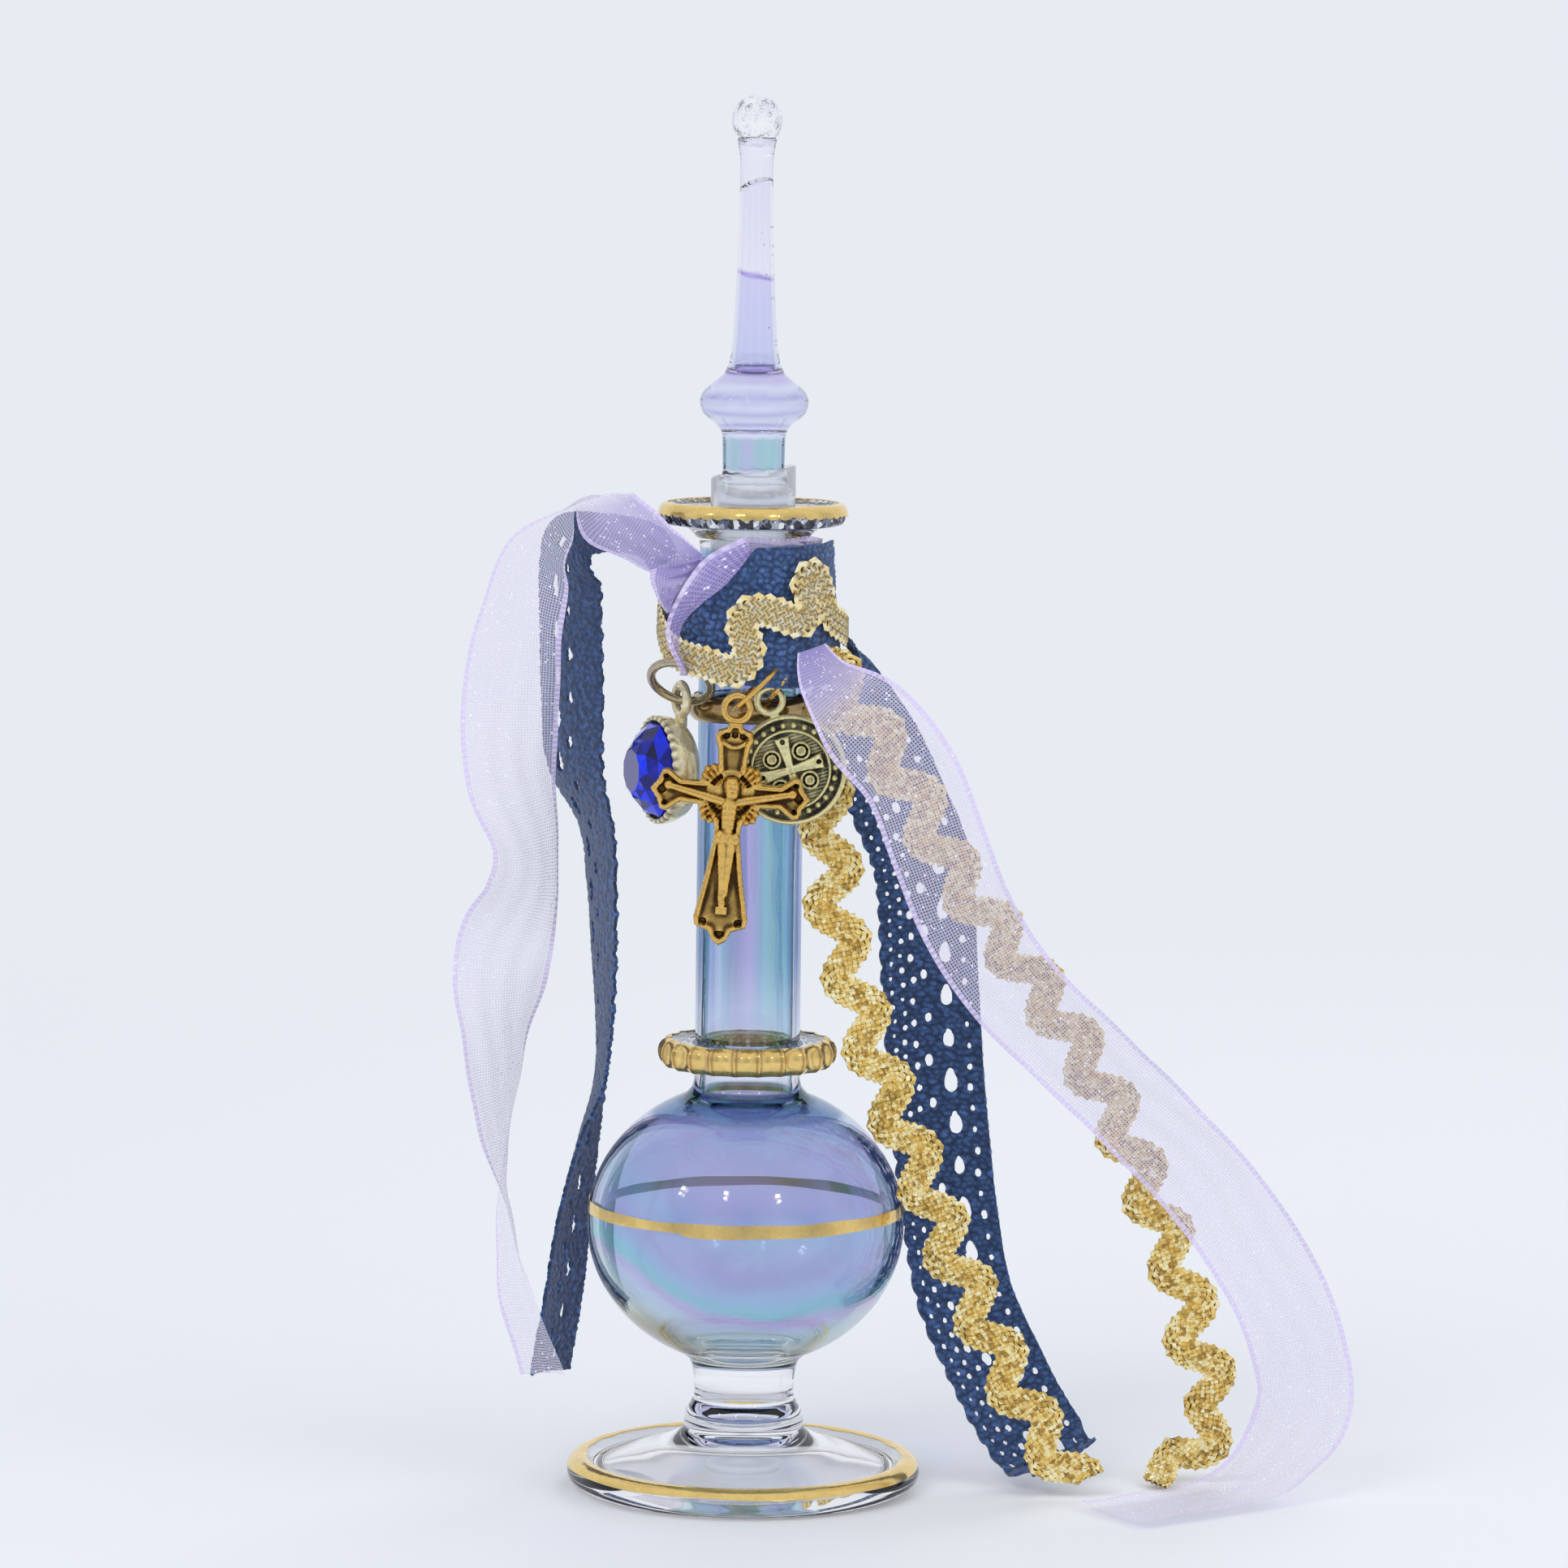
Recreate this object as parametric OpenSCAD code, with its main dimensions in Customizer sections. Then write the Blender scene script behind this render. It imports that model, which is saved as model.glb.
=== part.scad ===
// Holy water bottle: blown glass on a pressed foot, gilt bands, sleeved stopper, neck dressed with
// organza, lace and ric-rac, three charms on jump rings. Millimetres, +Z up, the foot stands on z = 0.

/* [Glass] */
// Radius of the foot over its rolled rim
foot_r = 21.9; // [19:0.1:26]
// Radius of the rolled rim's section
foot_rim_r = 1.75; // [1.2:0.05:2.2]
// Radius of the stem at its waist
stem_r = 6.2; // [5.5:0.1:7]
// Radius of the globe at its widest
globe_r = 19.6; // [17:0.1:22]
// Half height of the globe
globe_half_h = 17.5; // [15:0.1:20]
// Wall of the blown globe
globe_wall = 1.4; // [1:0.1:2]
// Outside radius of the neck tube
neck_r = 6.5; // [6.2:0.1:6.8]
// Bore radius of the neck and mouth
bore_r = 5.3; // [5.2:0.05:5.4]
// Radius of the lower fluted collar
collar_r = 10.95; // [9.5:0.05:12]
// Flutes round the lower collar
collar_flutes = 22; // [16:1:28]
// Radius of the upper collar
upper_collar_r = 7.75; // [7.4:0.05:7.8]
// Radius of the lip
lip_r = 11.55; // [10.5:0.05:12.5]

/* [Gilding] */
// Thickness of the gilding
gilt_t = 0.14; // [0.1:0.02:0.2]
// Height of the gilt line round the globe
gilt_line_h = 1.3; // [0.8:0.1:2]
// Gap between the gilding and the glass under it
gilt_gap = 0.02; // [0.01:0.01:0.04]

/* [Closure] */
// Outside radius of the plastic sleeve
sleeve_r = 5.2; // [5.1:0.02:5.24]
// Bore radius of the plastic sleeve
sleeve_bore_r = 4.4; // [4.36:0.02:4.6]
// Radius of the stopper's ground plug
plug_r = 4.32; // [4.1:0.02:4.32]
// Radius of the stopper's knob
knob_r = 6.65; // [5.8:0.05:7.5]
// Radius of the finial ball
ball_r = 3.1; // [2.6:0.05:3.5]

/* [Ribbon, lace and ric-rac] */
// Width of the organza ribbon
ribbon_w = 12; // [9:0.5:13]
// Width of the crochet lace
lace_w = 12.2; // [10:0.2:13]
// Width of the ric-rac's strand
ricrac_w = 4; // [3:0.2:5]
// Height of the ric-rac's wave on each side
ricrac_amp = 1.9; // [1:0.1:2.4]
// Length of one ric-rac wave
ricrac_wave = 9.3; // [8:0.1:11]

/* [Charms] */
// Radius of the medal
medal_r = 6.75; // [5.8:0.05:7]
// Thickness of the medal
medal_t = 1.4; // [1:0.1:1.5]
// Thickness of the crucifix
cross_t = 1.5; // [1.1:0.1:1.6]
// Radius of the gem cup
cup_r = 6.6; // [5.6:0.1:6.7]
// Wire radius of the thin jump rings
thin_wire_r = 0.28; // [0.2:0.02:0.3]
// Wire radius of the gem's jump ring
gem_wire_r = 0.55; // [0.4:0.05:0.6]

/* [Hidden] */
$fn = 96;
eps = 0.01;
fuse_gap = 0.02;

rim_z = 1.6;
rim_c = foot_r - foot_rim_r;
plate_top_z = 2.45;
plate_edge = foot_rim_r * 0.8;
plate_low_z = 1.0;
stem_base_r = 7.4;
stem_base_z = 6.9;
stem_top_z = 14.9;
stem_top_r = 6.45;
globe_low_a = 66.5;
globe_high_a = 67.5;
globe_z = stem_top_z + 1.65 + globe_half_h * sin(globe_low_a);
shoulder_z = globe_z + globe_half_h * sin(globe_high_a);
neck_low_z = shoulder_z + 2.03;
globe_top_z = shoulder_z + 5.28;
neck_top_z = 116.6;
collar_low_z = neck_low_z + 1.5;
collar_mid_z = collar_low_z + 1.8;
collar_top_z = collar_low_z + 3.5;
collar_crest_r = collar_r - 0.95;
flute_r = 1.9;
flute_depth = 0.42;
upper_low_z = 95.4;
upper_top_z = 98.4;
upper_edge = 0.7;
lip_low_z = neck_top_z + 2.6;
lip_mid_z = lip_low_z + 1.4;
lip_top_z = lip_low_z + 2.7;
lip_crest_r = lip_r - 0.75;
lip_dish_z = lip_low_z + 2;
gilt_line_z = globe_z + 1.8;
sleeve_low_z = 111.5;
sleeve_top_z = sleeve_low_z + 14.3;
sleeve_slant = 8.8;
plug_low_z = sleeve_low_z + 1;
plug_top_z = sleeve_top_z - 0.6;
stub_r = 3.9;
knob_z = 134.3;
spire_low_z = knob_z + 3.45;
spire_top_z = 166.1;
ball_seat = 2.4;
ball_z = spire_top_z + ball_seat;
// The knob's shape as [radius, height over its widest place], the spire's as [radius, share of its height]
knob_shape = [[stub_r + 0.06, -4.3], [stub_r + 0.2, -3.5], [knob_r - 1.9, -2.7], [knob_r - 0.75, -1.8],
    [knob_r - 0.2, -1], [knob_r, 0], [knob_r - 0.15, 0.7], [knob_r - 0.55, 1.4], [knob_r - 1.3, 2.1],
    [4.3, 2.9], [3.72, 3.45]];
spire_shape = [[3.27, 0.034], [2.95, 0.072], [2.78, 0.108], [2.58, 0.21], [2.33, 0.383], [2.18, 0.556],
    [2.03, 0.785], [2.02, 0.905], [2.15, 0.954], [2.42, 1]];

wrap_y = -1;
wrap_gap = 0.25;
ribbon_t = 0.5;
lace_t = 0.7;
ricrac_t = 0.7;
wrap_low_z = 100.4;
wrap_top_z = neck_top_z;
band_low_z = wrap_low_z + 2;
band_r = 8.9;
lace_wall = 0.75;
lace_low_r = 11.6;
lace_flare_r = 10.8;
lace_flare_z = wrap_low_z + 3.6;
lace_waist_r = 10.2;
lace_waist_z = wrap_low_z + 9.6;
lace_top_r = 9.8;

// The gem's ring leans back over the upper collar and hangs on the organza loop.
gem_ring_c = [-8.5, -7.5, 100.5];
gem_ring_r = 3.75;
gem_ring_tilt = 43.7;
gem_ring_yaw = 70.8;
gem_axis_yaw = 203;
gem_bail_c = [-8.5, -5.06, 98.1];
gem_bail_r = 1.85;
gem_bail_wire_r = 0.55;
gem_bail_foot_r = 0.75;
cup_z = 89.6;
cup_front = 3.2;
cup_depth = 4.2;
cup_wall = 0.6;
stone_gap = 0.05;
stone_r = cup_r - cup_wall - stone_gap;
stone_h = 3.4;
stone_table_r = 2.6;

// The thin rings stand in planes that hold the viewer's line, and lean to the right.
cross_eye_c = [-1.6, -13.55, 97.9];
cross_ring_c = [0.46, -11.46, 100.05];
cross_ring_r = 3.52;
cross_ring_lean = 43.4;
cross_turn = 4;
medal_eye_c = [2.3, -10.2, 98.6];
medal_ring_c = [3.6, -9.57, 100.54];
medal_ring_r = 2.13;
medal_ring_lean = 53.8;
medal_turn = 17.6;
eye_r = 1.55;
eye_wire_r = 0.42;
relief = 0.25;

function unit(v) = v / norm(v);
function ease(a, b, c, d, t) = 0.5 * (2 * b + (c - a) * t + (2 * a - 5 * b + 4 * c - d) * t * t
    + (3 * b - a - 3 * c + d) * t * t * t);
function smooth(p, n) = let (e = len(p) - 1) concat(
    [for (i = [0 : e - 1]) for (k = [0 : n - 1])
        ease(p[max(i - 1, 0)], p[i], p[i + 1], p[min(i + 2, e)], k / n)], [p[e]]);
function xyz(q) = [q[0], q[1], q[2]];
function along(p, i) = unit(xyz(p[min(i + 1, len(p) - 1)]) - xyz(p[max(i - 1, 0)]));
function across(t, ref) = unit(ref - (ref * t) * t);
function facing(yaw, tilt = 0) = [cos(yaw) * cos(tilt), sin(yaw) * cos(tilt), sin(tilt)];
function run(p, i) = i == 0 ? 0 : run(p, i - 1) + norm(xyz(p[i]) - xyz(p[i - 1]));

// A strip of thickness t: its stations hold place, half width and side direction, and its section bows.
module strip(place, half, side, t, bow = 0, cuts = 4) {
    n = len(place);
    k = 2 * (cuts + 1);
    pts = [for (i = [0 : n - 1]) let (nrm = cross(along(place, i), side[i])) for (j = [0 : k - 1])
        let (m = j <= cuts ? j : k - 1 - j, c = 2 * m / cuts - 1, s = j <= cuts ? 0.5 : -0.5)
        xyz(place[i]) + side[i] * half[i] * c + nrm * (bow * half[i] * (c * c - 1 / 3) + s * t)];
    walls = [for (i = [0 : n - 2]) for (j = [0 : k - 1]) let (a = i * k + j, b = i * k + (j + 1) % k)
        each [[a, a + k, b], [b, a + k, b + k]]];
    ends = [for (j = [0 : cuts - 1]) let (a = j, b = j + 1, c = k - 1 - j, d = k - 2 - j, e = (n - 1) * k)
        each [[a, b, d], [a, d, c], [e + a, e + d, e + b], [e + a, e + c, e + d]]];
    polyhedron(pts, concat(walls, ends), convexity = 8);
}

// A hanging tail: stations are [x, y, z, facing, share of its half width, tilt], and the tilt may be left out.
module tail(stations, w, t, bow, n) {
    p = smooth(stations, n);
    side = [for (i = [0 : len(p) - 1])
        across(along(p, i), facing(p[i][3], is_undef(p[i][5]) ? 0 : p[i][5]))];
    strip(p, [for (q = p) q[4] * w / 2], side, t, bow);
}

// A hanging ric-rac: its middle waves to both sides of the route.
module ricrac_tail(stations, n) {
    p = smooth(stations, n);
    s = [for (i = [0 : len(p) - 1]) across(along(p, i), [1, 0, 0])];
    q = [for (i = [0 : len(p) - 1]) xyz(p[i]) + s[i] * ricrac_amp * sin(360 * run(p, i) / ricrac_wave)];
    strip(q, [for (i = q) ricrac_w / 2], [for (i = [0 : len(q) - 1]) across(along(q, i), s[i])],
        ricrac_t, 0, 1);
}

ribbon_left_route = [[-9, -7.6, 114, 0, 0.2], [-11, -8.4, 116.3, 0, 0.5], [-14, -8, 118.5, 0, 0.6],
    [-16.9, -7.1, 120.2, 0, 0.68], [-20.3, -6.2, 122.5, 85, 0.9], [-23.6, -5.6, 119, 114, 1],
    [-26.6, -5, 114.5, 138, 1], [-28.6, -4.5, 106.5, 153, 1], [-29.5, -3.4, 97, 178, 1],
    [-29, -3.8, 88, 205, 1], [-27, -4, 80, 228, 1], [-27.5, -3.6, 74, 222, 1], [-30, -3, 66.5, 186, 1],
    [-30.5, -2, 56.5, 226, 1],
    [-30.5, -1, 45.5, 250, 1], [-30, -1, 39, 268, 1], [-29, -1, 30, 286, 1], [-28, -1, 24, 294, 1],
    [-26, -1, 18, 301, 1], [-24.5, -1, 13.5, 302, 1]];
ribbon_right_route = [[7.3, -10.4, 105, 0, 0.3], [9.2, -12.6, 101.3, 0, 0.6], [13.9, -13.9, 96.5, 0, 1],
    [19.4, -14, 90, 0, 1], [23.1, -13.5, 81, 0, 1], [26.6, -12, 72.5, 0, 1], [32.5, -10, 63.5, 0, 1],
    [42.5, -7, 53.5, 0, 1], [49, -5, 47, 0, 1], [58.5, -2, 36.5, 0, 1], [66, 0, 25, 0, 1],
    [69.5, 1, 15, -5, 1], [69.5, 0, 9.5, -15, 1], [66.5, -2.5, 4.5, -30, 1], [61.5, -6.5, 1.2, -42, 1],
    [53.5, -12.5, 0.7, -50, 1], [45, -18.5, 0.6, -54, 1]];
lace_left_route = [[-10.75, -5.3, 114.8, 130, 0.3, 90], [-12.2, -5, 117, 130, 0.5, 90],
    [-14.4, -4, 117.9, 130, 0.56, 90], [-17.6, -1.9, 118.1, 130, 0.52, 85], [-20.7, 0.7, 117.7, 130, 0.56, 55],
    [-22.5, 3, 115.6, 130, 0.85, 25], [-22.9, 4.6, 112.2, 130, 1, 8], [-22.8, 5.4, 106, 130, 1, 0],
    [-22.6, 5.6, 98.5, 130, 1, 0], [-22.2, 6.4, 88.5, 126, 1, 0], [-19.5, 7.3, 80.5, 112, 1, 0],
    [-18.8, 6.6, 73, 108, 1, 0], [-18.5, 7, 63, 104, 1, 0], [-18.5, 9, 53, 96, 1, 0], [-19, 10.5, 48, 90, 1, 0],
    [-20.2, 11.8, 42.5, 81, 1, 0], [-22, 12.2, 32.5, 73, 1, 0], [-23.3, 11.2, 22, 69, 1, 0],
    [-25, 10.5, 11.5, 68, 1, 0]];
lace_right_route = [[12.3, 2, 103.4, 98, 0.3], [13.2, 4.8, 98.5, 50, 0.7], [14.5, 6.5, 92.5, 18, 1],
    [18.5, 7.5, 84, 8, 1], [21.5, 8.5, 76, 5, 1], [22.5, 9.5, 63, 4, 1], [23.5, 10.5, 49.5, 5, 1],
    [24.5, 11, 40, 6, 1], [25.5, 10.5, 32, 8, 1], [27.5, 8, 22, 8, 1], [32, 5.5, 12.5, 6, 1],
    [34.5, 4, 8, 5, 1], [37.5, 2, 4, 4, 1], [40, 0, 3, 4, 1]];
ricrac_front_route = [[7, -8, 98.6], [7.4, -8.4, 95.8], [8.2, -8.5, 91], [10, -8.5, 81], [10.5, -7.5, 72.5],
    [12.5, -7, 65], [15, -6.5, 56.5], [18.5, -6.5, 47], [22, -6.5, 39], [25, -5, 31], [28.5, -4, 23.5],
    [32.5, -4, 15], [36.5, -4.5, 8], [39.5, -5.5, 4], [41.5, -6.5, 1.4]];
ricrac_back_route = [[8.7, -8.9, 103.4], [13.9, -12.1, 96.5], [19.5, -12.3, 88], [24, -11, 79.5],
    [30, -9, 71], [37.5, -5.5, 60.5], [44, -3, 50], [49, -0.5, 39], [52.5, 1, 30.5], [55, 1, 23.5],
    [56, 0.5, 17.5], [58.5, 1.5, 11.5], [57.5, 2.5, 6], [54.8, 2.5, 2.4], [50.5, 0.5, 1.2]];
// Turns round the lace: [way round from the front, height]
ricrac_band_turns = [[-104, 108], [-75, 107.5], [-42, 106.6], [-13, 103.6], [-7, 107.5], [9, 109.5],
    [36, 110], [46, 114], [62, 112.5], [80, 108], [104, 106.5], [140, 108], [180, 109],
    [220, 108], [250, 108]];
loop_route = [[-3.2, -11.6, 117, 1.3], [-4.8, -11.6, 113, 1.4], [-6.6, -12, 109, 1.4],
    [-7.8, -12.3, 105.4, 1.1], [-7.9, -12.1, 103.4, 0.6], [-8.1, -11.3, 101.9, 0.5],
    [-8.2, -10.2, 101.5, 0.5], [-8.05, -9.25, 101.95, 0.5], [-7.5, -8.7, 103, 0.5],
    [-6.9, -8.4, 104.6, 0.6], [-6.4, -8.2, 106.2, 0.7]];
loop_side = [0.954, 0, -0.299];
hanger_route = [[-3.8, -8, 104.8], [-2.2, -9.3, 102.8], [0, -10.15, 101.6], [2, -10.1, 101.3],
    [4.3, -9.35, 101.2], [6.2, -8.3, 101.7], [7.2, -6.9, 103.2], [7.2, -5.6, 104.9]];
hanger_r = 0.35;

function lace_r(z) = lookup(z, [[wrap_low_z, lace_low_r], [lace_flare_z, lace_flare_r],
    [lace_waist_z, lace_waist_r], [wrap_top_z, lace_top_r]]);
function globe_arc(r, h, a, b, n) = [for (i = [0 : n]) let (t = a + (b - a) * i / n)
    [r * cos(t), globe_z + h * sin(t)]];
function rim_arc(r, a, b, n) = [for (i = [0 : n]) let (t = a + (b - a) * i / n)
    [rim_c + r * cos(t), rim_z + r * sin(t)]];

module foot() color([0.85, 0.88, 0.95, 0.4]) rotate_extrude() intersection() {
    union() {
        translate([rim_c, rim_z]) circle(foot_rim_r);
        polygon([[0, 3.8], [7, 3.2], [rim_c - plate_edge, plate_low_z], [rim_c - plate_edge, plate_top_z],
            [14, 4.1], [10.5, 5.2], [8.4, 6.2], [stem_base_r, stem_base_z], [stem_base_r, 8.3], [7.15, 9.3],
            [6.75, 10.1], [stem_r, 10.7], [stem_r - 0.02, 12], [stem_r + 0.06, 13.4],
            [stem_top_r, stem_top_z], [0, stem_top_z]]);
    }
    square([foot_r + 1, stem_top_z]);
}

module globe() color([0.75, 0.75, 0.95, 0.4]) rotate_extrude() polygon(concat(
    [[0, stem_top_z], [stem_top_r, stem_top_z], [stem_top_r + 0.4, stem_top_z + 0.7]],
    globe_arc(globe_r, globe_half_h, -globe_low_a, globe_high_a, 40),
    [[neck_r + 0.25, shoulder_z + 0.93], [neck_r, neck_low_z], [neck_r, globe_top_z], [bore_r, globe_top_z],
        [bore_r, shoulder_z + 0.83]],
    globe_arc(globe_r - globe_wall, globe_half_h - globe_wall, 72, -90, 40)));

module neck_tube() color([0.72, 0.76, 0.95, 0.4]) translate([0, 0, globe_top_z]) difference() {
    cylinder(r = neck_r, h = neck_top_z - globe_top_z);
    translate([0, 0, -1]) cylinder(r = bore_r, h = neck_top_z - globe_top_z + 2);
}

module collar_form(grow) difference() {
    rotate_extrude() polygon([[neck_r + fuse_gap, collar_low_z + 0.3 - grow],
        [collar_crest_r - 0.5, collar_low_z - grow],
        [collar_crest_r + 0.2 + grow * 0.7, collar_low_z + 0.25 - grow * 0.7],
        [collar_r - 0.2 + grow, collar_mid_z - 0.8], [collar_r + grow, collar_mid_z],
        [collar_r - 0.2 + grow, collar_mid_z + 0.7],
        [collar_crest_r + 0.2 + grow * 0.7, collar_top_z - 0.3 + grow * 0.7],
        [collar_crest_r - 0.4, collar_top_z + grow], [neck_r + 1, collar_top_z - 0.5 + grow],
        [neck_r + fuse_gap, collar_top_z - 0.3 + grow]]);
    for (i = [0 : collar_flutes - 1]) rotate([0, 0, (i + 0.5) * 360 / collar_flutes])
        translate([collar_r + flute_r - flute_depth, 0, collar_low_z - 1])
            cylinder(r = flute_r - grow, h = collar_top_z - collar_low_z + 2, $fn = 32);
}

module lower_collar() color([0.85, 0.87, 0.95, 0.4]) collar_form(0);

module lower_collar_gilding() color([0.8, 0.6, 0.25]) difference() {
    collar_form(gilt_gap + gilt_t);
    collar_form(gilt_gap);
    translate([0, 0, collar_low_z - 2])
        cylinder(r = collar_crest_r - 0.1, h = collar_top_z - collar_low_z + 4);
}

module upper_ring(grow) rotate_extrude() polygon([[neck_r + fuse_gap, upper_low_z - grow],
    [upper_collar_r - upper_edge, upper_low_z - grow],
    [upper_collar_r - 0.15 + grow, upper_low_z + upper_edge],
    [upper_collar_r + grow, (upper_low_z + upper_top_z) / 2],
    [upper_collar_r - 0.15 + grow, upper_top_z - upper_edge],
    [upper_collar_r - upper_edge, upper_top_z + grow],
    [neck_r + fuse_gap, upper_top_z + grow]]);

module upper_collar() color([0.85, 0.87, 0.95, 0.4]) upper_ring(0);

module upper_collar_gilding() color([0.75, 0.55, 0.22]) difference() {
    upper_ring(gilt_gap + gilt_t);
    upper_ring(gilt_gap);
    translate([0, 0, upper_low_z - 1])
        cylinder(r = upper_collar_r - upper_edge, h = upper_top_z - upper_low_z + 2);
}

module lip_form(grow) rotate_extrude() polygon([[bore_r, neck_top_z], [neck_r, neck_top_z],
    [neck_r + 0.5, neck_top_z + 1.2], [neck_r + 1.7, lip_low_z - 0.2], [lip_crest_r - 1, lip_low_z - grow],
    [lip_r - 0.5 + grow * 0.7, lip_low_z + 0.3 - grow * 0.7],
    [lip_r + grow, lip_mid_z], [lip_r - 0.15 + grow, lip_mid_z + 0.6],
    [lip_crest_r + 0.2 + grow * 0.7, lip_top_z - 0.15 + grow * 0.7], [lip_crest_r - 0.4, lip_top_z + grow],
    [lip_crest_r - 1.6, lip_dish_z + 0.2], [bore_r + 0.6, lip_dish_z - 0.2], [bore_r, lip_dish_z - 0.7]]);

module lip() color([0.85, 0.87, 0.95, 0.4]) lip_form(0);

module lip_gilding() color([0.8, 0.6, 0.25]) difference() {
    lip_form(gilt_gap + gilt_t);
    lip_form(gilt_gap);
    translate([0, 0, neck_top_z - 1]) cylinder(r = lip_crest_r - 0.3, h = lip_top_z - neck_top_z + 3);
    translate([0, 0, neck_top_z - 1]) cylinder(r = lip_r + 2, h = lip_mid_z - 0.1 - neck_top_z + 1);
}

module globe_gilt_line() color([0.8, 0.6, 0.25]) rotate_extrude() intersection() {
    difference() {
        polygon(concat([[0, globe_z]],
            globe_arc(globe_r + gilt_gap + gilt_t, globe_half_h + gilt_gap + gilt_t, 0, 20, 16)));
        polygon(concat([[0, globe_z]], globe_arc(globe_r + gilt_gap, globe_half_h + gilt_gap, 0, 21, 16)));
    }
    translate([globe_r - 2, gilt_line_z - gilt_line_h / 2]) square([4, gilt_line_h]);
}

module foot_gilding() color([0.8, 0.6, 0.25]) rotate_extrude() polygon(concat(
    rim_arc(foot_rim_r + gilt_gap + gilt_t, 10, 140, 20), rim_arc(foot_rim_r + gilt_gap, 140, 10, 20)));

module sleeve() color([0.9, 0.92, 0.95, 0.5]) difference() {
    translate([0, 0, sleeve_low_z]) cylinder(r = sleeve_r, h = sleeve_top_z - sleeve_low_z + 3);
    translate([0, 0, sleeve_low_z - 1]) cylinder(r = sleeve_bore_r, h = sleeve_top_z - sleeve_low_z + 5);
    translate([0, 0, sleeve_top_z]) rotate([0, -sleeve_slant, 0])
        translate([-sleeve_r * 2, -sleeve_r * 2, 0]) cube([sleeve_r * 4, sleeve_r * 4, 8]);
}

module stopper() color([0.85, 0.88, 0.98, 0.4]) difference() {
    rotate_extrude() polygon(concat([[0, plug_low_z], [plug_r - 0.5, plug_low_z],
        [plug_r - 0.2, plug_low_z + 0.6],
        [plug_r, plug_top_z - 2], [plug_r, plug_top_z - 0.6], [stub_r, plug_top_z + 0.2]],
        [for (q = knob_shape) [q[0], knob_z + q[1]]],
        [for (q = spire_shape) [q[0], spire_low_z + q[1] * (spire_top_z - spire_low_z)]],
        [[0, spire_top_z]]));
    translate([0, 0, ball_z]) sphere(ball_r + fuse_gap);
}

module finial_ball() color([0.92, 0.92, 0.95, 0.5]) translate([0, 0, ball_z]) sphere(ball_r);

module ribbon_band() color([0.72, 0.66, 0.88]) difference() {
    translate([0, wrap_y, 0]) rotate_extrude() polygon([[0, band_low_z], [band_r - 0.4, band_low_z],
        [band_r, band_low_z + 1], [band_r, band_low_z + 4.6], [band_r - 0.15, band_low_z + 9.6],
        [band_r - 0.3, wrap_top_z], [band_r - 0.5, wrap_top_z + 0.6], [0, wrap_top_z + 0.6]]);
    translate([0, 0, wrap_low_z]) cylinder(r = neck_r + 0.05, h = wrap_top_z);
    translate([0, 0, wrap_top_z - 0.6]) cylinder(r = neck_r + 0.6, h = 5);
}

// The lace leaves the gem's ring free at its lower left, and the thin rings free at its lower front.
module lace_band() color([0.14, 0.16, 0.42]) difference() {
    translate([0, wrap_y, 0]) rotate_extrude() polygon([[lace_top_r - lace_wall, wrap_top_z],
        [lace_top_r, wrap_top_z], [lace_waist_r, lace_waist_z], [lace_flare_r, lace_flare_z],
        [lace_low_r, wrap_low_z], [lace_low_r - lace_wall, wrap_low_z],
        [lace_flare_r - lace_wall, lace_flare_z], [lace_waist_r - lace_wall, lace_waist_z]]);
    translate([-3, -30, wrap_low_z]) rotate([0, 40, 0]) translate([-30, 0, -20]) cube([30, 60, 20]);
    translate([0.6, -20, wrap_low_z - 1]) cube([5.6, 12, 4.4]);
}

module ricrac_band() color([0.78, 0.62, 0.25]) {
    p = smooth([for (q = ricrac_band_turns) let (r = lace_r(q[1]) + ricrac_t + wrap_gap)
        [r * sin(q[0]), wrap_y - r * cos(q[0]), q[1]]], 5);
    strip(p, [for (q = p) ricrac_w / 2],
        [for (i = [0 : len(p) - 1]) unit(cross(along(p, i), unit([p[i][0], p[i][1] - wrap_y, 0])))],
        ricrac_t, 0, 1);
}

module ribbon_knot() color([0.74, 0.68, 0.9]) translate([-9.3, -8.2, 113.4]) rotate([0, -28, 0])
    rotate_extrude($fn = 48) polygon([[0, -4.2], [0.9, -4], [1.7, -3], [2.1, -1.5], [2.2, 0], [2, 1.6],
        [1.5, 3.2], [0.8, 4.2], [0, 4.4]]);

module ribbon_loop() color([0.74, 0.68, 0.9]) {
    p = smooth(loop_route, 4);
    strip(p, [for (q = p) q[3]], [for (i = [0 : len(p) - 1]) across(along(p, i), loop_side)], 0.8, 0, 1);
}

module ribbon_hanger() color([0.74, 0.68, 0.9]) {
    p = smooth(hanger_route, 4);
    strip(p, [for (q = p) hanger_r], [for (i = [0 : len(p) - 1]) across(along(p, i), [0, 0, 1])],
        2 * hanger_r, 0, 1);
}

module ribbon_tail_left() color([0.74, 0.68, 0.9]) tail(ribbon_left_route, ribbon_w, ribbon_t, 0.14, 3);
module ribbon_tail_right() color([0.74, 0.68, 0.9]) tail(ribbon_right_route, ribbon_w, ribbon_t, 0.08, 3);
module lace_tail_left() color([0.14, 0.16, 0.42]) tail(lace_left_route, lace_w, lace_t, 0.12, 3);
module lace_tail_right() color([0.14, 0.16, 0.42]) tail(lace_right_route, lace_w, lace_t, 0.1, 3);
module ricrac_tail_front() color([0.78, 0.62, 0.25]) ricrac_tail(ricrac_front_route, 6);
module ricrac_tail_back() color([0.78, 0.62, 0.25]) ricrac_tail(ricrac_back_route, 6);

module wire_ring(r, wire) rotate_extrude() translate([r, 0]) circle(wire, $fn = 32);

module gem_jump_ring() color([0.72, 0.68, 0.5]) translate(gem_ring_c) rotate([0, gem_ring_tilt, gem_ring_yaw])
    wire_ring(gem_ring_r, gem_wire_r);

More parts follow.
